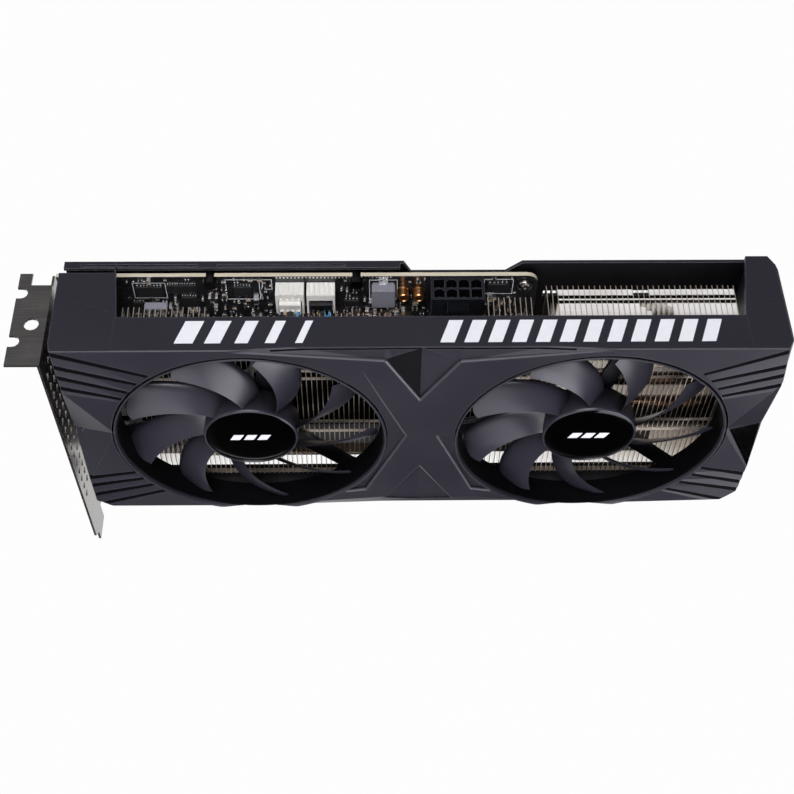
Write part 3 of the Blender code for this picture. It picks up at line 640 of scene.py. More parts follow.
def outer_solid():
    """The shroud's outside as one solid, with its long edges rounded."""
    front = [(6.6, 28.4), (12.0, 24.4), (66.0, 24.1), (112.0, 29.6), (149.0, 29.1), (184.5, 24.1)]
    front += [(238.5, 26.1), (243.4, 32.2), (243.8, 100.0), (241.4, TOP), (6.4, TOP)]
    left, right, low = SHROUD_LOW.x, SHROUD_HIGH.x, SHROUD_LOW.z
    side = [(left, 24.4), (9.6, low), (66.0, low), (112.0, low), (149.0, low), (184.5, low)]
    side += [(240.0, low), (right, 25.0), (right, 100.0), (right - 0.6, TOP), (left, TOP)]
    bm = bmesh.new()
    rings = ((front, FRONT), (side, SIDE_Y), (side, SHROUD_HIGH.y))
    skin(bm, [[bm.verts.new((x, y, z)) for x, z in ring] for ring, y in rings])
    sharp = [edge for edge in bm.edges if edge.calc_face_angle() > math.radians(20)]
    bmesh.ops.bevel(bm, geom=sharp, offset=0.35, segments=2, profile=0.5, affect="EDGES", clamp_overlap=True)
    return bm


def shroud_tray():
    """The outer solid with its inside taken out, before the face is cut."""
    left, right, low = SHROUD_LOW.x + WALL, SHROUD_HIGH.x - WALL, SHROUD_LOW.z + WALL
    inside = [(left, 26.2), (11.2, low), (238.6, low), (right, 27.0), (right, TOP - WALL), (left, TOP - WALL)]
    top_open = [(23.4, 2.0), (26.4, STRIP_BACK), (229.4, STRIP_BACK), (233.7, 2.0)]
    return carve(
        outer_solid(),
        cut(prism, inside, "Y", SIDE_Y + 0.2, SHROUD_HIGH.y + 3),
        cut(prism, top_open, "Z", 90, 130),
        join(block, (235.0, SIDE_Y, 24), (236.6, 1.0, 113)),
        cut(block, (0, FLOOR_BACK, 0), (250, 2, 30)),
        cut(block, (0, -6, 0), (23.8, 2, 130)),
        cut(block, (0, -23, 29), (12, -2, 112)),
    )


def duct_steps(x):
    """A gap let into the cover round each fan, the raised ring inside it, and the ring's bore."""
    mouth = -FRONT
    gap = [(0, mouth + 2), (47.4, mouth + 2), (47.4, mouth - 3.2), (0, mouth - 3.2)]
    trim = [(FRONT - 1, 19), (FRONT - 1, 23.0), (FRONT, 23.0), (SIDE_Y, SHROUD_LOW.z), (SIDE_Y, 19)]
    ring = [(0, mouth - 4.5), (47.1, mouth - 4.5), (47.1, mouth - 0.35), (46.9, mouth - 0.15)]
    ring.append((0, mouth - 0.15))
    bore = [(0, mouth + 2), (46.45, mouth + 2), (46.45, mouth - 0.15), (46.2, mouth - 0.6)]
    bore += [(DUCT_R, mouth - 1.3), (DUCT_R, 20), (0, 20)]
    centre = (x, FAN_Z)
    return [
        cut(lathe, gap, (x, FAN_Z + RING_SHIFT), ROUND),
        join(carve(new_shape(lathe, ring, centre, ROUND), cut(prism, trim, "X", x - 60, x + 60))),
        cut(lathe, bore, centre, ROUND),
    ]


def duct_wall(x):
    """The tube that carries on behind the front."""
    front, outside, inside = -SIDE_Y - 0.1, DUCT_R + 1.4, DUCT_R - 2
    profile = [(outside, front), (outside, 27.2), (inside, 27.2), (inside, front)]
    return join(lathe, profile, (x, FAN_Z), 96, True)


def end_facet(inner_x, outer_x):
    """A shallow sloped cut in the top face, stepping down along a slanted crease at one end."""
    corners = [(inner_x, -23.6, 0.14), (outer_x, -14.6, 0.14)]
    corners += [(outer_x, FRONT - 1, 0.02), (inner_x, FRONT - 1, 0.02)]
    points = [(x, y, TOP - depth) for x, y, depth in corners]
    return hull(points + [(x, y, TOP + 1) for x, y, depth in corners])


def add_shroud():
    """The faceted cover: raised X between the fans, pockets, stepped corners and end facets."""
    steps = [duct_wall(x) for x in FAN_X.values()]
    steps += [cut(pocket(corners)) for corners in POCKETS]
    for lines in GROOVES.values():
        steps += grooves(lines)
    lip = [(76, FRONT - 2), (173.5, FRONT - 2), (173.5, FRONT + 2.4), (76, FRONT + 2.4)]
    corner = [(240.7, 1.5), (240.7, 0.5), (243.9, -5.3), (246, -5.3), (246, 1.5)]
    slope = ((242.5, TOP + 0.4), (244.9, TOP + 0.4), (244.9, TOP - 2.2))
    steps.append(cut(prism, lip, "Z", TOP - 1.3, TOP - 0.55))
    steps.append(cut(end_facet(229.8, 246.0)))
    steps.append(cut(end_facet(25.6, 3.0)))
    steps.append(cut(prism, corner, "Z", 60, 130))
    steps.append(cut(hull([(x, y, z) for y in (-40, 3) for x, z in slope])))
    for x in FAN_X.values():
        steps += duct_steps(x)
    shell = carve(shroud_tray(), *steps)
    add_piece("shroud_shell", shell, SHROUD, crease=5, replaces=["shroud"])


def add_strip(bm, corners, thick):
    """Add a thin solid that starts at the depths of its (x, z, depth) corners."""
    bm.from_mesh(as_mesh("strip", layered(corners, 0, thick)))


def fan_clearings():
    """Cuts that keep the strips on the front clear of the fans' rings."""
    profile = [(0, 42), (CLEAR_R, 42), (CLEAR_R, 30), (0, 30)]
    return [cut(lathe, profile, (x, FAN_Z + RING_SHIFT), ROUND) for x in FAN_X.values()]


def add_groove_shade_strips():
    """Near-black strips along the grooves that paint their shade, cut off just inside the shroud's sides."""
    bm = bmesh.new()
    for lines in GROOVES.values():
        for outer, inner in lines:
            low_inner = (inner[0], inner[1] - SHADE_STRIP_WIDE * 0.6, 0.04)
            low_outer = (outer[0], outer[1] - SHADE_STRIP_WIDE, 0.15)
            add_strip(bm, [(*outer, 0.98), (*inner, 0.28), low_inner, low_outer], 0.5)
    limit = outer_solid()
    middle = (SHROUD_LOW.x + SHROUD_HIGH.x) / 2
    for vert in limit.verts:
        vert.co.x = middle + (vert.co.x - middle) * 0.9985
    shade_strips = carve(bm, ("INTERSECT", limit), *fan_clearings())
    add_piece("groove_shade_strips", shade_strips, SHADE_LINER)


def add_edges():
    """Narrow chamfers along the edges of the raised X, in a lighter plastic that paints their highlight."""
    bm = bmesh.new()
    for line in X_EDGES:
        for start, end in zip(line, line[1:]):
            along = (Vector(end) - Vector(start)).normalized()
            side = Vector((-along.y, along.x)) * EDGE_WIDE
            corners = [(*start, 0.02), (*end, 0.02)]
            corners += [(*(Vector(point) + side), 0.3) for point in (start, end)]
            add_strip(bm, corners, 0.6)
    add_piece("x_edges", carve(bm, *fan_clearings()), HIGHLIGHT_EDGE)


def add_liners():
    """A thin near-black liner inside each duct, behind its ring, which paints the shade deep in the bore."""
    inside, outside = DUCT_R - 0.4, DUCT_R - 0.02
    profile = [(inside, 27.4), (inside, -FRONT - 1.7), (outside, -FRONT - 1.5), (outside, 27.4)]
    for side, x in FAN_X.items():
        liner = new_shape(lathe, profile, (x, FAN_Z), ROUND, True)
        add_piece(f"shade_liner_{side}", liner, SHADE_LINER)


def add_insets():
    """Dark insets: the left half of the V pocket, a near-black sheet that paints its shade, and the lower
    half of the right end pocket in gloss black.
    """
    for name, material, slot, corners in INSETS:
        add_piece(name, layered(corners, -0.06, 0.3), material, bevel=0.04, segments=1)


# ---------------------------------------------------------------------------- printed marks


def slanted(x, low_v, high_v, width, lean):
    """A leaning bar as four points across a face."""
    return [(x, low_v), (x + width, low_v), (x + width + lean, high_v), (x + lean, high_v)]


def add_marks():
    """Plain white bars printed on the top strip, in two groups."""
    bars = [(45.5 + 9.6 * k, 6.0 - 0.9 * k) for k in range(5)]
    bars += [(130.0 + 7.6 * k, 4.6) for k in range(12)]
    bm = bmesh.new()
    for x, width in bars:
        prism(bm, slanted(x, -35.4, -26.4, width, 3.2), "Z", TOP - 0.03, TOP + 0.02)
    add_piece("strip_marks", bm, INK)


# ---------------------------------------------------------------------------- fans


def add_blades(bm, centre):
    """Nine swept blades, thick in the middle of their chord and fine at their edges."""
    spans, chords = 18, 14
    for blade in range(9):
        top, under = [], []
        for i in range(spans + 1):
            u = i / spans
            top.append([])
            under.append([])
            for j in range(chords + 1):
                v = j / chords
                tip = 44 - 3.0 * (2 * v - 1) ** 4
                radius = HUB_R - 0.5 + u * (tip - HUB_R + 0.5)
                angle = math.radians(15.5 + blade * 40 + 30 * u - 20 * v)
                height = HUB_FRONT - 0.9 - 6.8 * v ** 0.85
                half = (0.16 + 0.52 * math.sin(math.pi * v) ** 0.6) * (1 - 0.6 * u ** 6)
                x = centre[0] + radius * math.cos(angle)
                z = centre[1] + radius * math.sin(angle)
                top[-1].append(bm.verts.new((x, -height - half, z)))
                under[-1].append(bm.verts.new((x, -height + half, z)))
        faces = []
        for i in range(spans):
            for j in range(chords):
                for sheet in (top, under):
                    corners = (sheet[i][j], sheet[i + 1][j], sheet[i + 1][j + 1], sheet[i][j + 1])
                    faces.append(bm.faces.new(corners))
        rim = [(i, 0) for i in range(spans + 1)] + [(spans, j) for j in range(1, chords + 1)]
        rim += [(i, chords) for i in range(spans - 1, -1, -1)] + [(0, j) for j in range(chords - 1, 0, -1)]
        for (i, j), (m, n) in zip(rim, rim[1:] + rim[:1]):
            faces.append(bm.faces.new((top[i][j], top[m][n], under[m][n], under[i][j])))
        bmesh.ops.recalc_face_normals(bm, faces=faces)


def add_rotor(side):
    """Hub cup and blades, and the gloss disc let into the hub with its printed bars."""
    centre = (FAN_X[side], FAN_Z)
    body = f"fan_{side}"
    face = HUB_FRONT
    cup = [(15.55, face - 0.9), (15.55, face - 0.15), (15.7, face), (16.0, face - 0.05), (16.25, face - 0.4)]
    cup += [(HUB_R, face - 1.0), (HUB_R, 27.9), (16.2, 27.6), (15.4, 27.6), (15.2, 27.9)]
    cup += [(15.2, face - 2.0), (2.6, face - 2.0), (2.6, face - 1.2), (15.4, face - 1.2)]
    bm = new_shape(lathe, cup, centre, 96, True)
    add_blades(bm, centre)
    add_piece(f"rotor_{side}", bm, BLADE, body, crease=50, replaces=[f"fan_rotor_{side}"])
    disc = [(0, face - 0.2), (12.0, face - 0.24), (14.9, face - 0.34), (15.3, face - 0.55)]
    disc += [(15.3, face - 0.9), (0, face - 0.9)]
    bm = new_shape(lathe, disc, centre, 96)
    add_piece(f"hub_cap_{side}", bm, DISC, body, crease=40, replaces=[f"hub_disc_{side}"])
    bm = bmesh.new()
    for k in range(3):
        outline = slanted(centre[0] - 7.4 + 4.7 * k, centre[1] - 1.5, centre[1] + 1.5, 3.4, 1.6)
        prism(bm, outline, "Y", -face + 0.14, -face + 0.4)
    add_piece(f"hub_marks_{side}", bm, INK, body)
    inside = (("magnet_ring", FERRITE), ("fan_shaft", STEEL), ("bearing", BRONZE), ("stator", COPPER),
              ("fan_frame", BLACK))
    for part, material in inside:
        finish_nodes([f"{part}_{side}"], material, 0.12)


# ---------------------------------------------------------------------------- cooler

FIN_FRONT = -24.3
FIN_LOW, FIN_HIGH = 24.0, 112.0
FIN_PITCH = 1.8
FIN_T = 0.28
FIN_STACKS = {"main": (26.0, 163.5), "tail": (166.5, 232.0)}
TAB_ROWS = (52.0, 58.0, 84.0, 88.5)
TAB_REACH = FIN_PITCH - 0.12
PIPE_Z = (47.0, 62.0, 77.0)
PIPE_SIDES = 28
LEAD_START, LEAD_END = 55.0, 83.5  # where the fins stop short of the left lead
CHOKES_START, CHOKES_END = 117.3, 146.8  # where they stop short of the chokes and power socket
TABS_START = 169.5
BACK_GAP = (194.5, 200.5)  # ends of the gap in the tail's back row of tabs
GAP_LEFT, GAP_RIGHT = (196.0, 207.0), (206.0, 211.0)  # slanting sides of the gap in the front row


def main_fin_outline(x):
    """A main fin's (y, z) outline, cut back where the board's tall parts stand."""
    back, waist = -11.0, 91
    if x > CHOKES_END:
        return [(FIN_FRONT, FIN_LOW), (back, FIN_LOW), (back, FIN_HIGH), (FIN_FRONT, FIN_HIGH)]
    if x > CHOKES_START - FIN_PITCH:
        return [(FIN_FRONT, FIN_LOW), (back, FIN_LOW), (back, waist), (FIN_FRONT, waist)]
    high = 100 if LEAD_START < x < LEAD_END else FIN_HIGH
    step = -14.6 if x < LEAD_START else -17.4
    outline = [(FIN_FRONT, FIN_LOW), (back, FIN_LOW), (back, waist), (step, waist)]
    return outline + [(step, high), (FIN_FRONT, high)]


def tail_fin_outline(x):
    """A tail fin's outline, with an open notch for each heat pipe."""
    back = -6.0
    outline = [(FIN_FRONT, FIN_LOW), (back, FIN_LOW)]
    for z in PIPE_Z:
        outline += [(back, z - 2.8), (-9.6, z - 2.8), (-10.9, z), (-9.6, z + 2.8), (back, z + 2.8)]
    return outline + [(back, FIN_HIGH), (FIN_FRONT, FIN_HIGH)]


def slant(x, side):
    """Share of the way from the front row's back edge to its front edge that a side has run at x."""
    start, end = side
    return min(max((x - start) / (end - start), 0.0), 1.0)


def tail_tab_rows(x):
    """The tabs beside one tail fin, as lowest and highest y."""
    if x < TABS_START:
        return []
    back, front = -13.7, -24.2
    rows = [(-12.1, -11.6)]
    if not BACK_GAP[0] < x < BACK_GAP[1]:
        rows.append((-10.0, -7.7))
    rows.append((front, back + (front - back) * slant(x, GAP_LEFT)))
    rows.append((back + (front - back) * slant(x, GAP_RIGHT), back))
    return [(low_y, high_y) for low_y, high_y in rows if high_y - low_y > 0.3]


def add_tabs(bm, x, back):
    """The folded tabs of one fin, reaching over to the next one."""
    near, far = x + FIN_T, x + TAB_REACH
    for z in TAB_ROWS:
        block(bm, (near, FIN_FRONT, z), (far, FIN_FRONT + FIN_T, z + 1.4))
    block(bm, (near, FIN_FRONT + 0.4, FIN_LOW), (far, FIN_FRONT + 2.2, FIN_LOW + FIN_T))
    if x < 209:
        block(bm, (near, -15.2, FIN_LOW), (far, back, FIN_LOW + FIN_T))


def fin_places(stack):
    """The x of each fin of a stack."""
    start, end = FIN_STACKS[stack]
    return [start + 0.25 + k * FIN_PITCH for k in range(int((end - start) / FIN_PITCH))]


def add_fins():
    """Two stacks of thin fins, clipped together by rows of folded tabs."""
    for stack, fin_outline in (("main", main_fin_outline), ("tail", tail_fin_outline)):
        bm = bmesh.new()
        for x in fin_places(stack):
            outline = fin_outline(x)
            prism(bm, outline, "X", x, x + FIN_T)
            add_tabs(bm, x, outline[1][0])
        add_piece(f"fin_stack_{stack}_fine", bm, FINS, replaces=[f"fin_stack_{stack}"])
    bm = bmesh.new()
    for place in fin_places("tail")[:-1]:
        x = place + FIN_T
        for low_y, high_y in tail_tab_rows(x):
            block(bm, (x, low_y, FIN_HIGH - 0.3), (x + FIN_PITCH - FIN_T, high_y, FIN_HIGH - 0.02))
    add_piece("tail_tabs", bm, BRIGHT)
    pad = new_shape(block, (33.4, -15.4, 111.5), (41.0, -12.7, 112.4))
    add_piece("pad_strip", pad, CHOKE, bevel=0.2)
    start, end = FIN_STACKS["main"]
    # painted shade: a near-black plate behind the main fins that darkens the gaps between them
    spine = new_shape(block, (start, -11.5, FIN_LOW + 14.0), (end, -11.05, 90.5))
    add_piece("fin_gap_shade_plate", spine, SHADE_LINER, bevel=0.1)


def add_heat_pipes():
    """Three round pipes with domed ends, and the cold plate's machined block."""
    for index, z in enumerate(PIPE_Z, 1):
        node = f"heat_pipe_{index}"
        low, high = card_box(node)
        radius = (high.z - low.z) / 2
        middle = (low.y + high.y) / 2
        places = [low.x + 0.05 + shift for shift in (0, 0.8, 2.2)]
        places += [high.x - 0.05 - shift for shift in (2.2, 0.8, 0)]
        bm = new_shape(tube, [Vector((x, middle, z)) for x in places], radius * 0.99, PIPE_SIDES)
        bm.verts.ensure_lookup_table()
        for ring, share in ((0, 0.45), (1, 0.85), (4, 0.85), (5, 0.45)):
            for vert in bm.verts[ring * PIPE_SIDES:(ring + 1) * PIPE_SIDES]:
                vert.co.y = middle + (vert.co.y - middle) * share
                vert.co.z = z + (vert.co.z - z) * share
        add_piece(f"{node}_round", bm, COPPER, replaces=[node])
    finish_nodes(["cold_plate"], COPPER, 0.4)


# ---------------------------------------------------------------------------- backplate


def add_backplate():
    """The painted rear plate: folded lip with two long slots, tail vents and pressed lines."""
    high = card_box("backplate")[1]
    top, dip, back = high.z, 108.5, high.y
    outline = [(5.2, 14.0), (243.0, 14.0), (243.0, top), (159.5, top), (154.0, dip)]
    outline += [(121.9, dip), (119.3, top), (5.2, top)]
    steps = [join(block, (5.2, 1.2, top - 1.2), (118.0, 3.5, top))]
    for start, end in ((11.0, 50.0), (56.5, 99.5)):
        steps.append(cut(block, (start, 1.75, top - 0.7), (end, 2.75, top + 1)))
    vents = (
        [(168.0, 95.8), (229.0, 95.8), (229.0, 98.6), (168.0, 98.6)],
        [(170.0, 30.0), (229.0, 30.0), (229.0, 51.0), (188.5, 91.5), (170.0, 91.5)],
        [(229.0, 60.0), (229.0, 91.5), (197.5, 91.5)],
    )
    steps += [cut(prism, shape, "Y", 1, 6) for shape in vents]
    screw_hole = [(0, 2), (3.4, 2), (3.4, -6), (0, -6)]
    steps += [cut(lathe, screw_hole, (x, z), 40) for x in (74.0, 126.0) for z in (36.0, 88.0)]
    for k in range(5):
        x = 14.0 + 9.0 * k
        steps.append(cut(prism, slanted(x, 20.0, 45.0, 3.4, 25.0), "Y", back - 0.35, back + 1))
    frame_line = [(18.0, 100.0), (150.0, 100.0), (156.0, 106.0), (156.0, 106.8), (18.0, 106.8)]
    steps.append(cut(prism, frame_line, "Y", back - 0.3, back + 1))
    plate = carve(new_shape(prism, outline, "Y", 3.0, back), *steps)
    add_piece("backplate_shell", plate, PAINT, bevel=0.22, replaces=["backplate"])


# ---------------------------------------------------------------------------- board


def add_contacts():
    """Separate gold fingers on both faces of the edge connector."""
    for side in ("front", "back"):
        for prefix in ("", "key_"):
            node = f"{prefix}contact_row_{side}"
            low, high = card_box(node)
            bm = bmesh.new()
            count = int(high.x - low.x)
            for k in range(count):
                x = low.x + (high.x - low.x) * k / count
                short = 0.9 if prefix == "" and k == count - 1 else 0
                outline = [(x + 0.12, low.z + short), (x + 0.88, low.z + short), (x + 0.88, high.z)]
                outline += [(x + 0.66, high.z + 0.25), (x + 0.34, high.z + 0.25), (x + 0.12, high.z)]
                prism(bm, outline, "Y", low.y, high.y)
            add_piece(f"{node}_fingers", bm, GOLD, replaces=[node])


def chip_part(bodies, metal, x, z, wide, tall, high, flat_y):
    """A two-ended surface part: its body and the two soldered ends."""
    cap = 0.28 * max(wide, tall)
    half_x, half_z = wide / 2, tall / 2
    block(bodies, (x - half_x, flat_y - high, z - half_z), (x + half_x, flat_y, z + half_z))
    top_y = flat_y - high - 0.05
    for sign in (-1, 1):
        if wide > tall:
            edge = x + sign * half_x
            low, far = sorted((edge, edge - sign * cap))
            block(metal, (low, top_y, z - half_z - 0.05), (far + 0.02, flat_y, z + half_z + 0.05))
        else:
            edge = z + sign * half_z
            low, far = sorted((edge, edge - sign * cap))
            block(metal, (x - half_x - 0.05, top_y, low), (x + half_x + 0.05, flat_y, far + 0.02))


def leaded_chip(bodies, metal, x, z, wide, tall, high, flat_y, pins):
    """A black chip with a row of bent pins along its upper and lower edges."""
    block(bodies, (x - wide / 2, flat_y - high, z - tall / 2), (x + wide / 2, flat_y - 0.1, z + tall / 2))
    pitch = wide / pins
    for k in range(pins):
        left = x - wide / 2 + pitch * (k + 0.28)
        for sign in (-1, 1):
            low, top = sorted((z + sign * tall / 2, z + sign * (tall / 2 + 0.75)))
            block(metal, (left, flat_y - high * 0.45, low), (left + pitch * 0.45, flat_y, top))


SMALL_PARTS = ((1.0, 0.5, 0.4), (1.6, 0.8, 0.6), (1.6, 0.8, 0.6), (2.0, 1.25, 0.9), (3.2, 1.6, 1.2))
# Black chips along the upper edge: middle x and z, width, height, pins in a row
LEADED_CHIPS = (
    (33.0, 104.0, 9.0, 5.0, 8), (46.0, 98.6, 5.2, 5.2, 6), (64.5, 104.2, 6.0, 4.6, 6),
    (151.5, 105.5, 7.0, 4.2, 5), (44.0, 105.6, 10.0, 3.6, 12), (28.5, 96.5, 4.0, 4.0, 4),
    (101.5, 97.5, 5.0, 3.2, 4),
)
# Ground that larger parts stand on: lowest and highest x, lowest and highest z
KEPT_FREE = (
    (75.0, 97.0, 97.6, 110), (107.4, 117.4, 98.8, 109.4), (116.8, 127.0, 102.2, 107.0),
    (127.6, 147.0, 93, 111), (51.0, 57.0, 106.2, 111.2), (100.4, 106.2, 106.2, 111.2),
    (157.4, 163.8, 103.5, 110),
)


def around(x, z, wide, tall, gap_x, gap_z):
    """The ground that a part takes up, with a gap round it."""
    return (x - wide / 2 - gap_x, x + wide / 2 + gap_x, z - tall / 2 - gap_z, z + tall / 2 + gap_z)


def add_small_parts():
    """The crowd of surface parts along the board's upper edge."""
    dice = random.Random(11)
    face = card_box("board")[0].y
    dark, tan, metal = bmesh.new(), bmesh.new(), bmesh.new()
    taken = list(KEPT_FREE)
    for x, z, wide, tall, pins in LEADED_CHIPS:
        leaded_chip(dark, metal, x, z, wide, tall, 0.95, face, pins)
        taken.append(around(x, z, wide, tall, 0.9, 1.1))
    for _ in range(1500):
        x = dice.uniform(25.5, 158.0)
        z = dice.uniform(88.5, 110.2)
        wide, tall, high = dice.choice(SMALL_PARTS)
        if dice.random() < 0.5:
            wide, tall = tall, wide
        spot = around(x, z, wide, tall, 0.35, 0.35)
        if any(spot[0] < b and a < spot[1] and spot[2] < d and c < spot[3] for a, b, c, d in taken):
            continue
        taken.append(spot)
        chip_part(dice.choice((dark, tan, tan)), metal, x, z, wide, tall, high, face)
    for k in range(32):
        x = 76.0 + 1.25 * k
        block(metal, (x, face - 0.12, 110.2), (x + 0.6, face, 110.85))
    for x in (27.6, 29.4, 31.2, 33.0):
        block(metal, (x, face - 0.4, 108.6), (x + 0.9, face, 109.2))
    add_piece("surface_chips", dark, CHIP, bevel=0.06, segments=1)
    add_piece("ceramic_capacitors", tan, CERAMIC, bevel=0.06, segments=1)
    add_piece("soldered_ends", metal, SOLDER, bevel=0.05, segments=1)


def add_silkscreen():
    """Thin white outlines printed round the larger parts."""
    face = card_box("board")[0].y
    line = 0.2
    bm = bmesh.new()
    frames = ((27.4, 38.6, 100.0, 108.0), (58.8, 70.4, 99.2, 109.6), (71.2, 74.6, 104.4, 109.6),
              (107.6, 117.2, 98.9, 109.2), (146.6, 156.6, 101.6, 109.4))
    for left, right, low, high in frames:
        sides = (((left, low), (right, low + line)), ((left, high - line), (right, high)),
                 ((left, low + line), (left + line, high - line)),
                 ((right - line, low + line), (right, high - line)))
        for near, far in sides:
            block(bm, (near[0], face - 0.05, near[1]), (far[0], face, far[1]))
    add_piece("board_outlines", bm, INK)


def add_chokes():
    """Moulded chokes: a grey block with chamfered edges on a slightly wider grey base, with side terminals.
    """
    for index in range(1, 5):
        node = f"choke_{index}"
        low, high = card_box(node)
        bm = new_shape(block, tuple(low), (high.x, low.y + 3.3, high.z))
        block(bm, (low.x + 0.3, low.y + 3.3, low.z + 0.3), (high.x - 0.3, high.y, high.z - 0.3))
        add_piece(f"{node}_block", bm, CHOKE, bevel=0.35, replaces=[node])
        middle = (low.x + high.x) / 2
        bm = bmesh.new()
        for edge in (low.z, high.z):
            block(bm, (middle - 1.6, high.y - 1.4, edge - 0.25), (middle + 1.6, high.y, edge + 0.25))
        add_piece(f"{node}_terminals", bm, SOLDER, bevel=0.08)


def add_capacitors():
    """Two metal-can capacitors with a rolled groove and a dished top."""
    for index in (1, 2):
        node = f"capacitor_{index}"
        low, high = card_box(node)
        centre = ((low.x + high.x) / 2, (low.z + high.z) / 2)
        radius, tall, foot = (high.x - low.x) / 2 * 0.99, -low.y, -high.y
        can = [(0, tall - 0.25), (radius * 0.72, tall - 0.25), (radius * 0.84, tall), (radius, tall - 0.35)]
        can += [(radius, foot + 1.5), (radius * 0.88, foot + 1.3), (radius * 0.88, foot + 1.0)]
        can += [(radius, foot + 0.8), (radius, foot), (0, foot)]
        bm = new_shape(lathe, can, centre, 40)
        add_piece(f"{node}_can", bm, ORANGE, crease=30, replaces=[node])


def finish_board():
    """The board, hidden chips, pads and standoffs keep their CAD shapes."""
    finish_nodes(["graphics_chip"] + [f"memory_chip_{k}" for k in range(1, 5)], CHIP, 0.12)
    finish_nodes(["memory_pad_1", "memory_pad_2"], PAD, 0.3, 3)
    finish_nodes(["standoff_1", "standoff_2"], DARK_STEEL, 0.2)
    finish_nodes(["board"], MASK)


# ---------------------------------------------------------------------------- connectors


def add_power_connector():
    """Eight-way socket: square and arched cells with a pin in each, and the latch ramp."""
    low, high = card_box("power_connector")
    middle_x, middle_y = (low.x + high.x) / 2, (low.y + high.y) / 2
    top, front = high.z, low.y
    half, pitch, pin = 1.8, 4.2, 0.5
    steps, pins = [], bmesh.new()
    for column in range(4):
        for row in range(2):
            x = middle_x + (column - 1.5) * pitch
            y = middle_y + (row - 0.5) * pitch
            arched = column > 0 if row else column < 2
            clip = 1.0 if arched else 0.05
            sides = [(x - half, y - half), (x + half, y - half), (x + half, y + half - clip)]
            sides += [(x + half - clip, y + half), (x - half + clip, y + half), (x - half, y + half - clip)]
            steps.append(cut(prism, sides, "Z", top - 9.5, top + 1))
            square = [(x - pin, y - pin), (x + pin, y - pin), (x + pin, y + pin), (x - pin, y + pin)]
            prism(pins, square, "Z", top - 9.4, top - 2.2)
    latch = [(front + 0.2, top - 0.4), (front + 0.2, top - 7.5)]
    latch += [(front - 1.1, top - 6.0), (front - 1.1, top - 3.8)]
    steps.append(join(prism, latch, "X", middle_x - 3.6, middle_x + 3.6))
    socket = carve(new_shape(block, tuple(low), tuple(high)), *steps)
    add_piece("power_socket", socket, BLACK, bevel=0.16, replaces=["power_connector"])
    add_piece("power_pins", pins, DARK_STEEL, bevel=0.12)


def plug_ways(low, high):
    """The x of each of a plug's four wires."""
    return [low.x + (high.x - low.x) * (k + 0.5) / 4 for k in range(4)]


def add_headers():
    """White fan headers with side slots and ribs, and the plugs pushed into them."""
    for side, material, slot in (("left", WHITE, "white_plastic"), ("right", BLACK, "black_plastic")):
        low, high = card_box(f"fan_header_{side}")
        plug_low, plug_high = card_box(f"fan_plug_{side}")
        back = high.y - 0.6
        well = ((plug_low.x - 0.3, low.y - 1, low.z - 1), (plug_high.x + 0.3, back, plug_high.z + 0.3))
        steps = [cut(block, *well)]
        for k in range(5):
            x = low.x + 1.0 + 1.75 * k
            steps.append(cut(block, (x, low.y + 0.5, high.z - 0.45), (x + 0.8, back, high.z + 1)))
        for k in range(4 if side == "left" else 0):
            x = low.x + 1.5 + 2.0 * k
            steps.append(cut(block, (x, low.y - 1, high.z - 2.4), (x + 0.6, low.y + 0.4, high.z + 1)))
        header = carve(new_shape(block, tuple(low), tuple(high)), *steps)
        replaced = [f"fan_header_{side}"]
        add_piece(f"header_{side}", header, WHITE, bevel=0.12, replaces=replaced)
        steps = []
        for x in plug_ways(plug_low, plug_high):
            near = (x - 0.6, plug_low.y - 1, plug_low.z + 2.0)
            steps.append(cut(block, near, (x + 0.6, plug_low.y + 0.5, plug_high.z - 1.2)))
        plug = carve(new_shape(block, tuple(plug_low), tuple(plug_high)), *steps)
        add_piece(f"plug_{side}", plug, material, bevel=0.12, replaces=[f"fan_plug_{side}"])


# The fan leads' routes, repeated from the CAD, in card coordinates
LEAD_ROUTES = {
    "left": (
        (80.7, -8.6, 101.3), (80.7, -11.5, 101.0), (78.6, -14.6, 102.6), (74.6, -15.8, 105.8),
        (70.6, -17.2, 108.6), (67.6, -20.0, 109.8), (66.6, -23.0, 109.2), (67.6, -25.4, 107.0),
        (69.6, -25.75, 103.0), (69.2, -25.75, 98.0), (67.4, -25.75, 91.0), (65.9, -25.75, 84.4),
    ),
    "right": (
        (91.2, -8.6, 101.3), (91.2, -11.5, 100.6), (94.0, -14.4, 99.2), (100.5, -15.7, 98.0),
        (108.0, -15.8, 97.2), (116.5, -15.9, 97.0), (120.8, -18.8, 97.6), (122.6, -22.8, 97.6),
        (123.8, -26.6, 94.0), (124.6, -27.4, 86.0), (125.2, -27.2, 76.0), (127.4, -26.6, 66.5),
        (132.0, -25.9, 61.0), (138.5, -25.75, 60.0), (150.0, -25.75, 63.2), (160.0, -25.75, 65.9),
        (168.2, -25.75, 68.1),
    ),
}
LEAD_R = 1.2


def add_leads():
    """The sleeved fan leads, and the four coloured wires that enter each plug."""
    for side, route in LEAD_ROUTES.items():
        lead = new_shape(tube, smooth_route(route, 8), LEAD_R * 0.98, 14)
        add_piece(f"lead_{side}", lead, SLEEVE, crease=60, replaces=[f"fan_lead_{side}"])
        low, high = card_box(f"fan_plug_{side}")
        end = route[1]
        for k, (x, colour) in enumerate(zip(plug_ways(low, high), WIRES)):
            turn = math.radians(45 + 90 * k)
            points = [(x, low.y + 0.3, low.z + 1.4), (x, low.y - 0.7, low.z + 1.0),
                      ((x + end[0]) / 2, low.y - 2.2, low.z + 0.9),
                      (end[0] + 0.5 * math.cos(turn), end[1] - 0.6, end[2] + 0.5 * math.sin(turn))]
            wire = new_shape(tube, smooth_route(points, 6), 0.52, 10)
            add_piece(f"wire_{side}_{colour}", wire, WIRES[colour], crease=60)


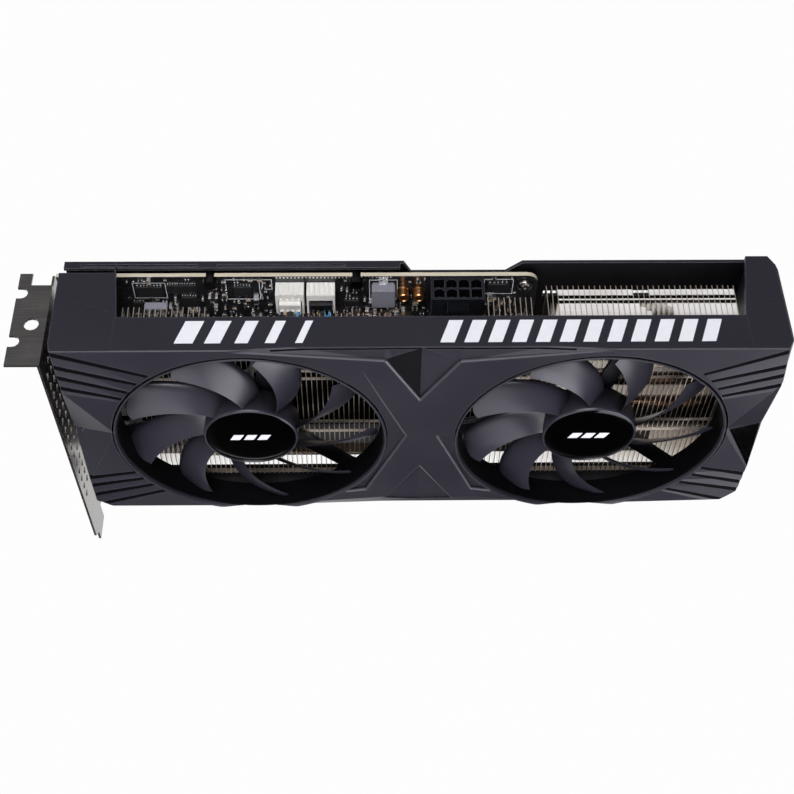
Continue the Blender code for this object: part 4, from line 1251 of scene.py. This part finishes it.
# ---------------------------------------------------------------------------- metalwork


def add_ports():
    """The CAD port shells, each with its black tongue and a row of gold contacts."""
    tongues, contacts = bmesh.new(), bmesh.new()
    for index in range(1, 5):
        node = f"video_port_{index}"
        finish_nodes([node], STEEL, 0.1)
        low, high = card_box(node)
        middle = (low.y + high.y) / 2
        block(tongues, (low.x + 2.0, middle - 0.55, low.z + 2.0), (low.x + 12.9, middle + 0.55, high.z - 2.0))
        for k in range(8):
            z = low.z + 2.7 + (high.z - low.z - 5.8) * k / 7
            for y in (middle - 0.62, middle + 0.56):
                block(contacts, (low.x + 2.3, y, z), (low.x + 11.0, y + 0.06, z + 0.45))
    add_piece("port_tongues", tongues, BLACK, bevel=0.15)
    add_piece("port_contacts", contacts, GOLD)


def cross_head(x, z, face, radius, high, toward):
    """A screw head with a domed top and a cross recess; toward is -1 for the fan side."""
    dome = [(0, high), (radius * 0.55, high * 0.96), (radius * 0.88, high * 0.7), (radius, high * 0.35)]
    dome += [(radius, 0), (0, 0)]
    head = new_shape(lathe, [(r, -toward * h - face) for r, h in dome], (x, z), 40)
    arm, wide = radius * 0.55, radius * 0.14
    near, far = sorted((face + toward * high * 0.35, face + toward * (high + 1)))
    return carve(
        head,
        cut(block, (x - arm, near, z - wide), (x + arm, far, z + wide)),
        cut(block, (x - wide, near, z - arm), (x + wide, far, z + arm)),
    )


def add_screw(node, radius, high, toward, material):
    """A cross-headed screw with its shank, in place of a CAD blank."""
    near, far = card_box(node)
    x, z = (near.x + far.x) / 2, (near.z + far.z) / 2
    face = far.y - high if toward > 0 else near.y + high
    start, end = (-near.y, -face) if toward > 0 else (-face, -far.y)
    bm = cross_head(x, z, face, radius, high, toward)
    lathe(bm, [(0, start), (1.5, start), (1.5, end), (0, end)], (x, z), 24)
    add_piece(f"{node}_cross", bm, material, bevel=0.08, crease=40, replaces=[node])


def add_screws():
    """The four screws that hold the cooler, and the one at the tail."""
    for index in range(1, 5):
        add_screw(f"cooler_screw_{index}", 2.88, 1.6, 1, DARK_STEEL)
    add_screw("tail_screw", 2.58, 1.4, -1, STEEL)


# ---------------------------------------------------------------------------- studio

AIM = Vector((0, -0.02, 0.07))
TABLE_LEVEL = -0.18  # metres, well below the card
TABLE_HALF = 3.5
SEAM_X, SEAM_Y = 0.02, -0.1  # where the table's parts meet
MIRROR_NEAR, MIRROR_FAR = 0.06, 0.4  # the strip of table that the fins mirror
COOL = (0.94, 0.93, 1.0)


def add_light(name, place, size, radiance, colour=(1, 1, 1)):
    """A square soft box aimed at the card, its brightness given as radiance; metres."""
    data = bpy.data.lights.new(name, "AREA")
    data.size = size
    data.energy = radiance * math.pi * size ** 2
    data.color = colour
    lamp = place_object(name, data)
    lamp.location = place
    lamp.rotation_euler = (AIM - Vector(place)).to_track_quat("-Z", "Y").to_euler()


def add_world():
    """A dim grey room: darker in front and to the right, brighter behind and to the left."""
    world = bpy.data.worlds.new("studio")
    world.use_nodes = True
    tree = world.node_tree
    place = new_node(tree, "TexCoord").outputs["Generated"]
    along = dot_product(tree, place, Vector((-0.6, 0.75, 0.1)).normalized())
    level = map_range(tree, along, -0.5, 0.9, 0.01, 0.26)
    feed(tree, tree.nodes["Background"], Color=(0.95, 0.96, 1.0), Strength=level)
    bpy.context.scene.world = world


def glowing(name):
    """The material of the white light table and its backdrop."""
    finish = Finish(name, 0.5, Base_Color=(0, 0, 0), Specular_IOR_Level=0)
    finish.shade(Emission_Color=(1, 1, 1), Emission_Strength=0.985)
    return finish.material


def add_stage(name, bm, material, lights_card=False, mirrored=False):
    """A part of the light table or backdrop; it can light the card or only be mirrored in it."""
    stage = place_object(name, as_mesh(name, bm))
    stage.data.materials.append(material)
    stage.visible_diffuse = lights_card
    stage.visible_glossy = mirrored
    stage.visible_transmission = lights_card
    stage.visible_shadow = False


def add_camera():
    """The photograph's viewing angle: above the card, close, and turned a little."""
    data = bpy.data.cameras.new("camera")
    data.sensor_width = 36
    data.lens = 61.197
    data.clip_start = 0.01
    camera = place_object("camera", data)
    camera.location = (0.00775, -0.296091, 0.459943)
    camera.rotation_euler = [math.radians(angle) for angle in (35.1415, -0.827, -0.9614)]
    bpy.context.scene.camera = camera
    bpy.context.scene.view_settings.view_transform = "Standard"


def add_studio():
    """White light table well below the card, soft boxes and a dim room."""
    add_world()
    material = glowing("light_table")
    half = TABLE_HALF
    floors = (
        ("floor_front", (-half, -half), (half, SEAM_Y), False, False),
        ("floor_left", (-half, SEAM_Y), (SEAM_X, half), True, True),
        ("floor_right", (SEAM_X, SEAM_Y), (half, MIRROR_NEAR), False, False),
        ("floor_seen_in_fins", (SEAM_X, MIRROR_NEAR), (half, MIRROR_FAR), False, True),
        ("floor_far", (SEAM_X, MIRROR_FAR), (half, half), False, False),
    )
    for name, low, high, lights_card, mirrored in floors:
        floor = new_shape(block, (*low, TABLE_LEVEL - 0.02), (*high, TABLE_LEVEL))
        add_stage(name, floor, material, lights_card, mirrored)
    bm = bmesh.new()
    bmesh.ops.create_icosphere(bm, subdivisions=4, radius=half * 1.6)
    add_stage("backdrop", bm, material)
    add_light("front", (-0.15, -1.05, 0.0), 0.75, 2.4, COOL)
    add_light("low", (0.6, -0.86, -0.27), 0.62, 5.4, COOL)
    add_light("key", (-0.1, -0.6, 1.1), 0.8, 7.4, (0.97, 0.96, 1.0))
    add_light("side", (-1.0, -0.25, 0.45), 0.5, 2.0)


add_studio()
add_camera()
add_shroud()
add_groove_shade_strips()
add_edges()
add_liners()
add_insets()
add_marks()
for fan_side in FAN_X:
    add_rotor(fan_side)
add_fins()
add_heat_pipes()
add_backplate()
add_contacts()
add_small_parts()
add_silkscreen()
add_chokes()
add_capacitors()
finish_board()
add_power_connector()
add_headers()
add_leads()
add_ports()
add_screws()
finish_nodes(["io_bracket"], STEEL, 0.12)
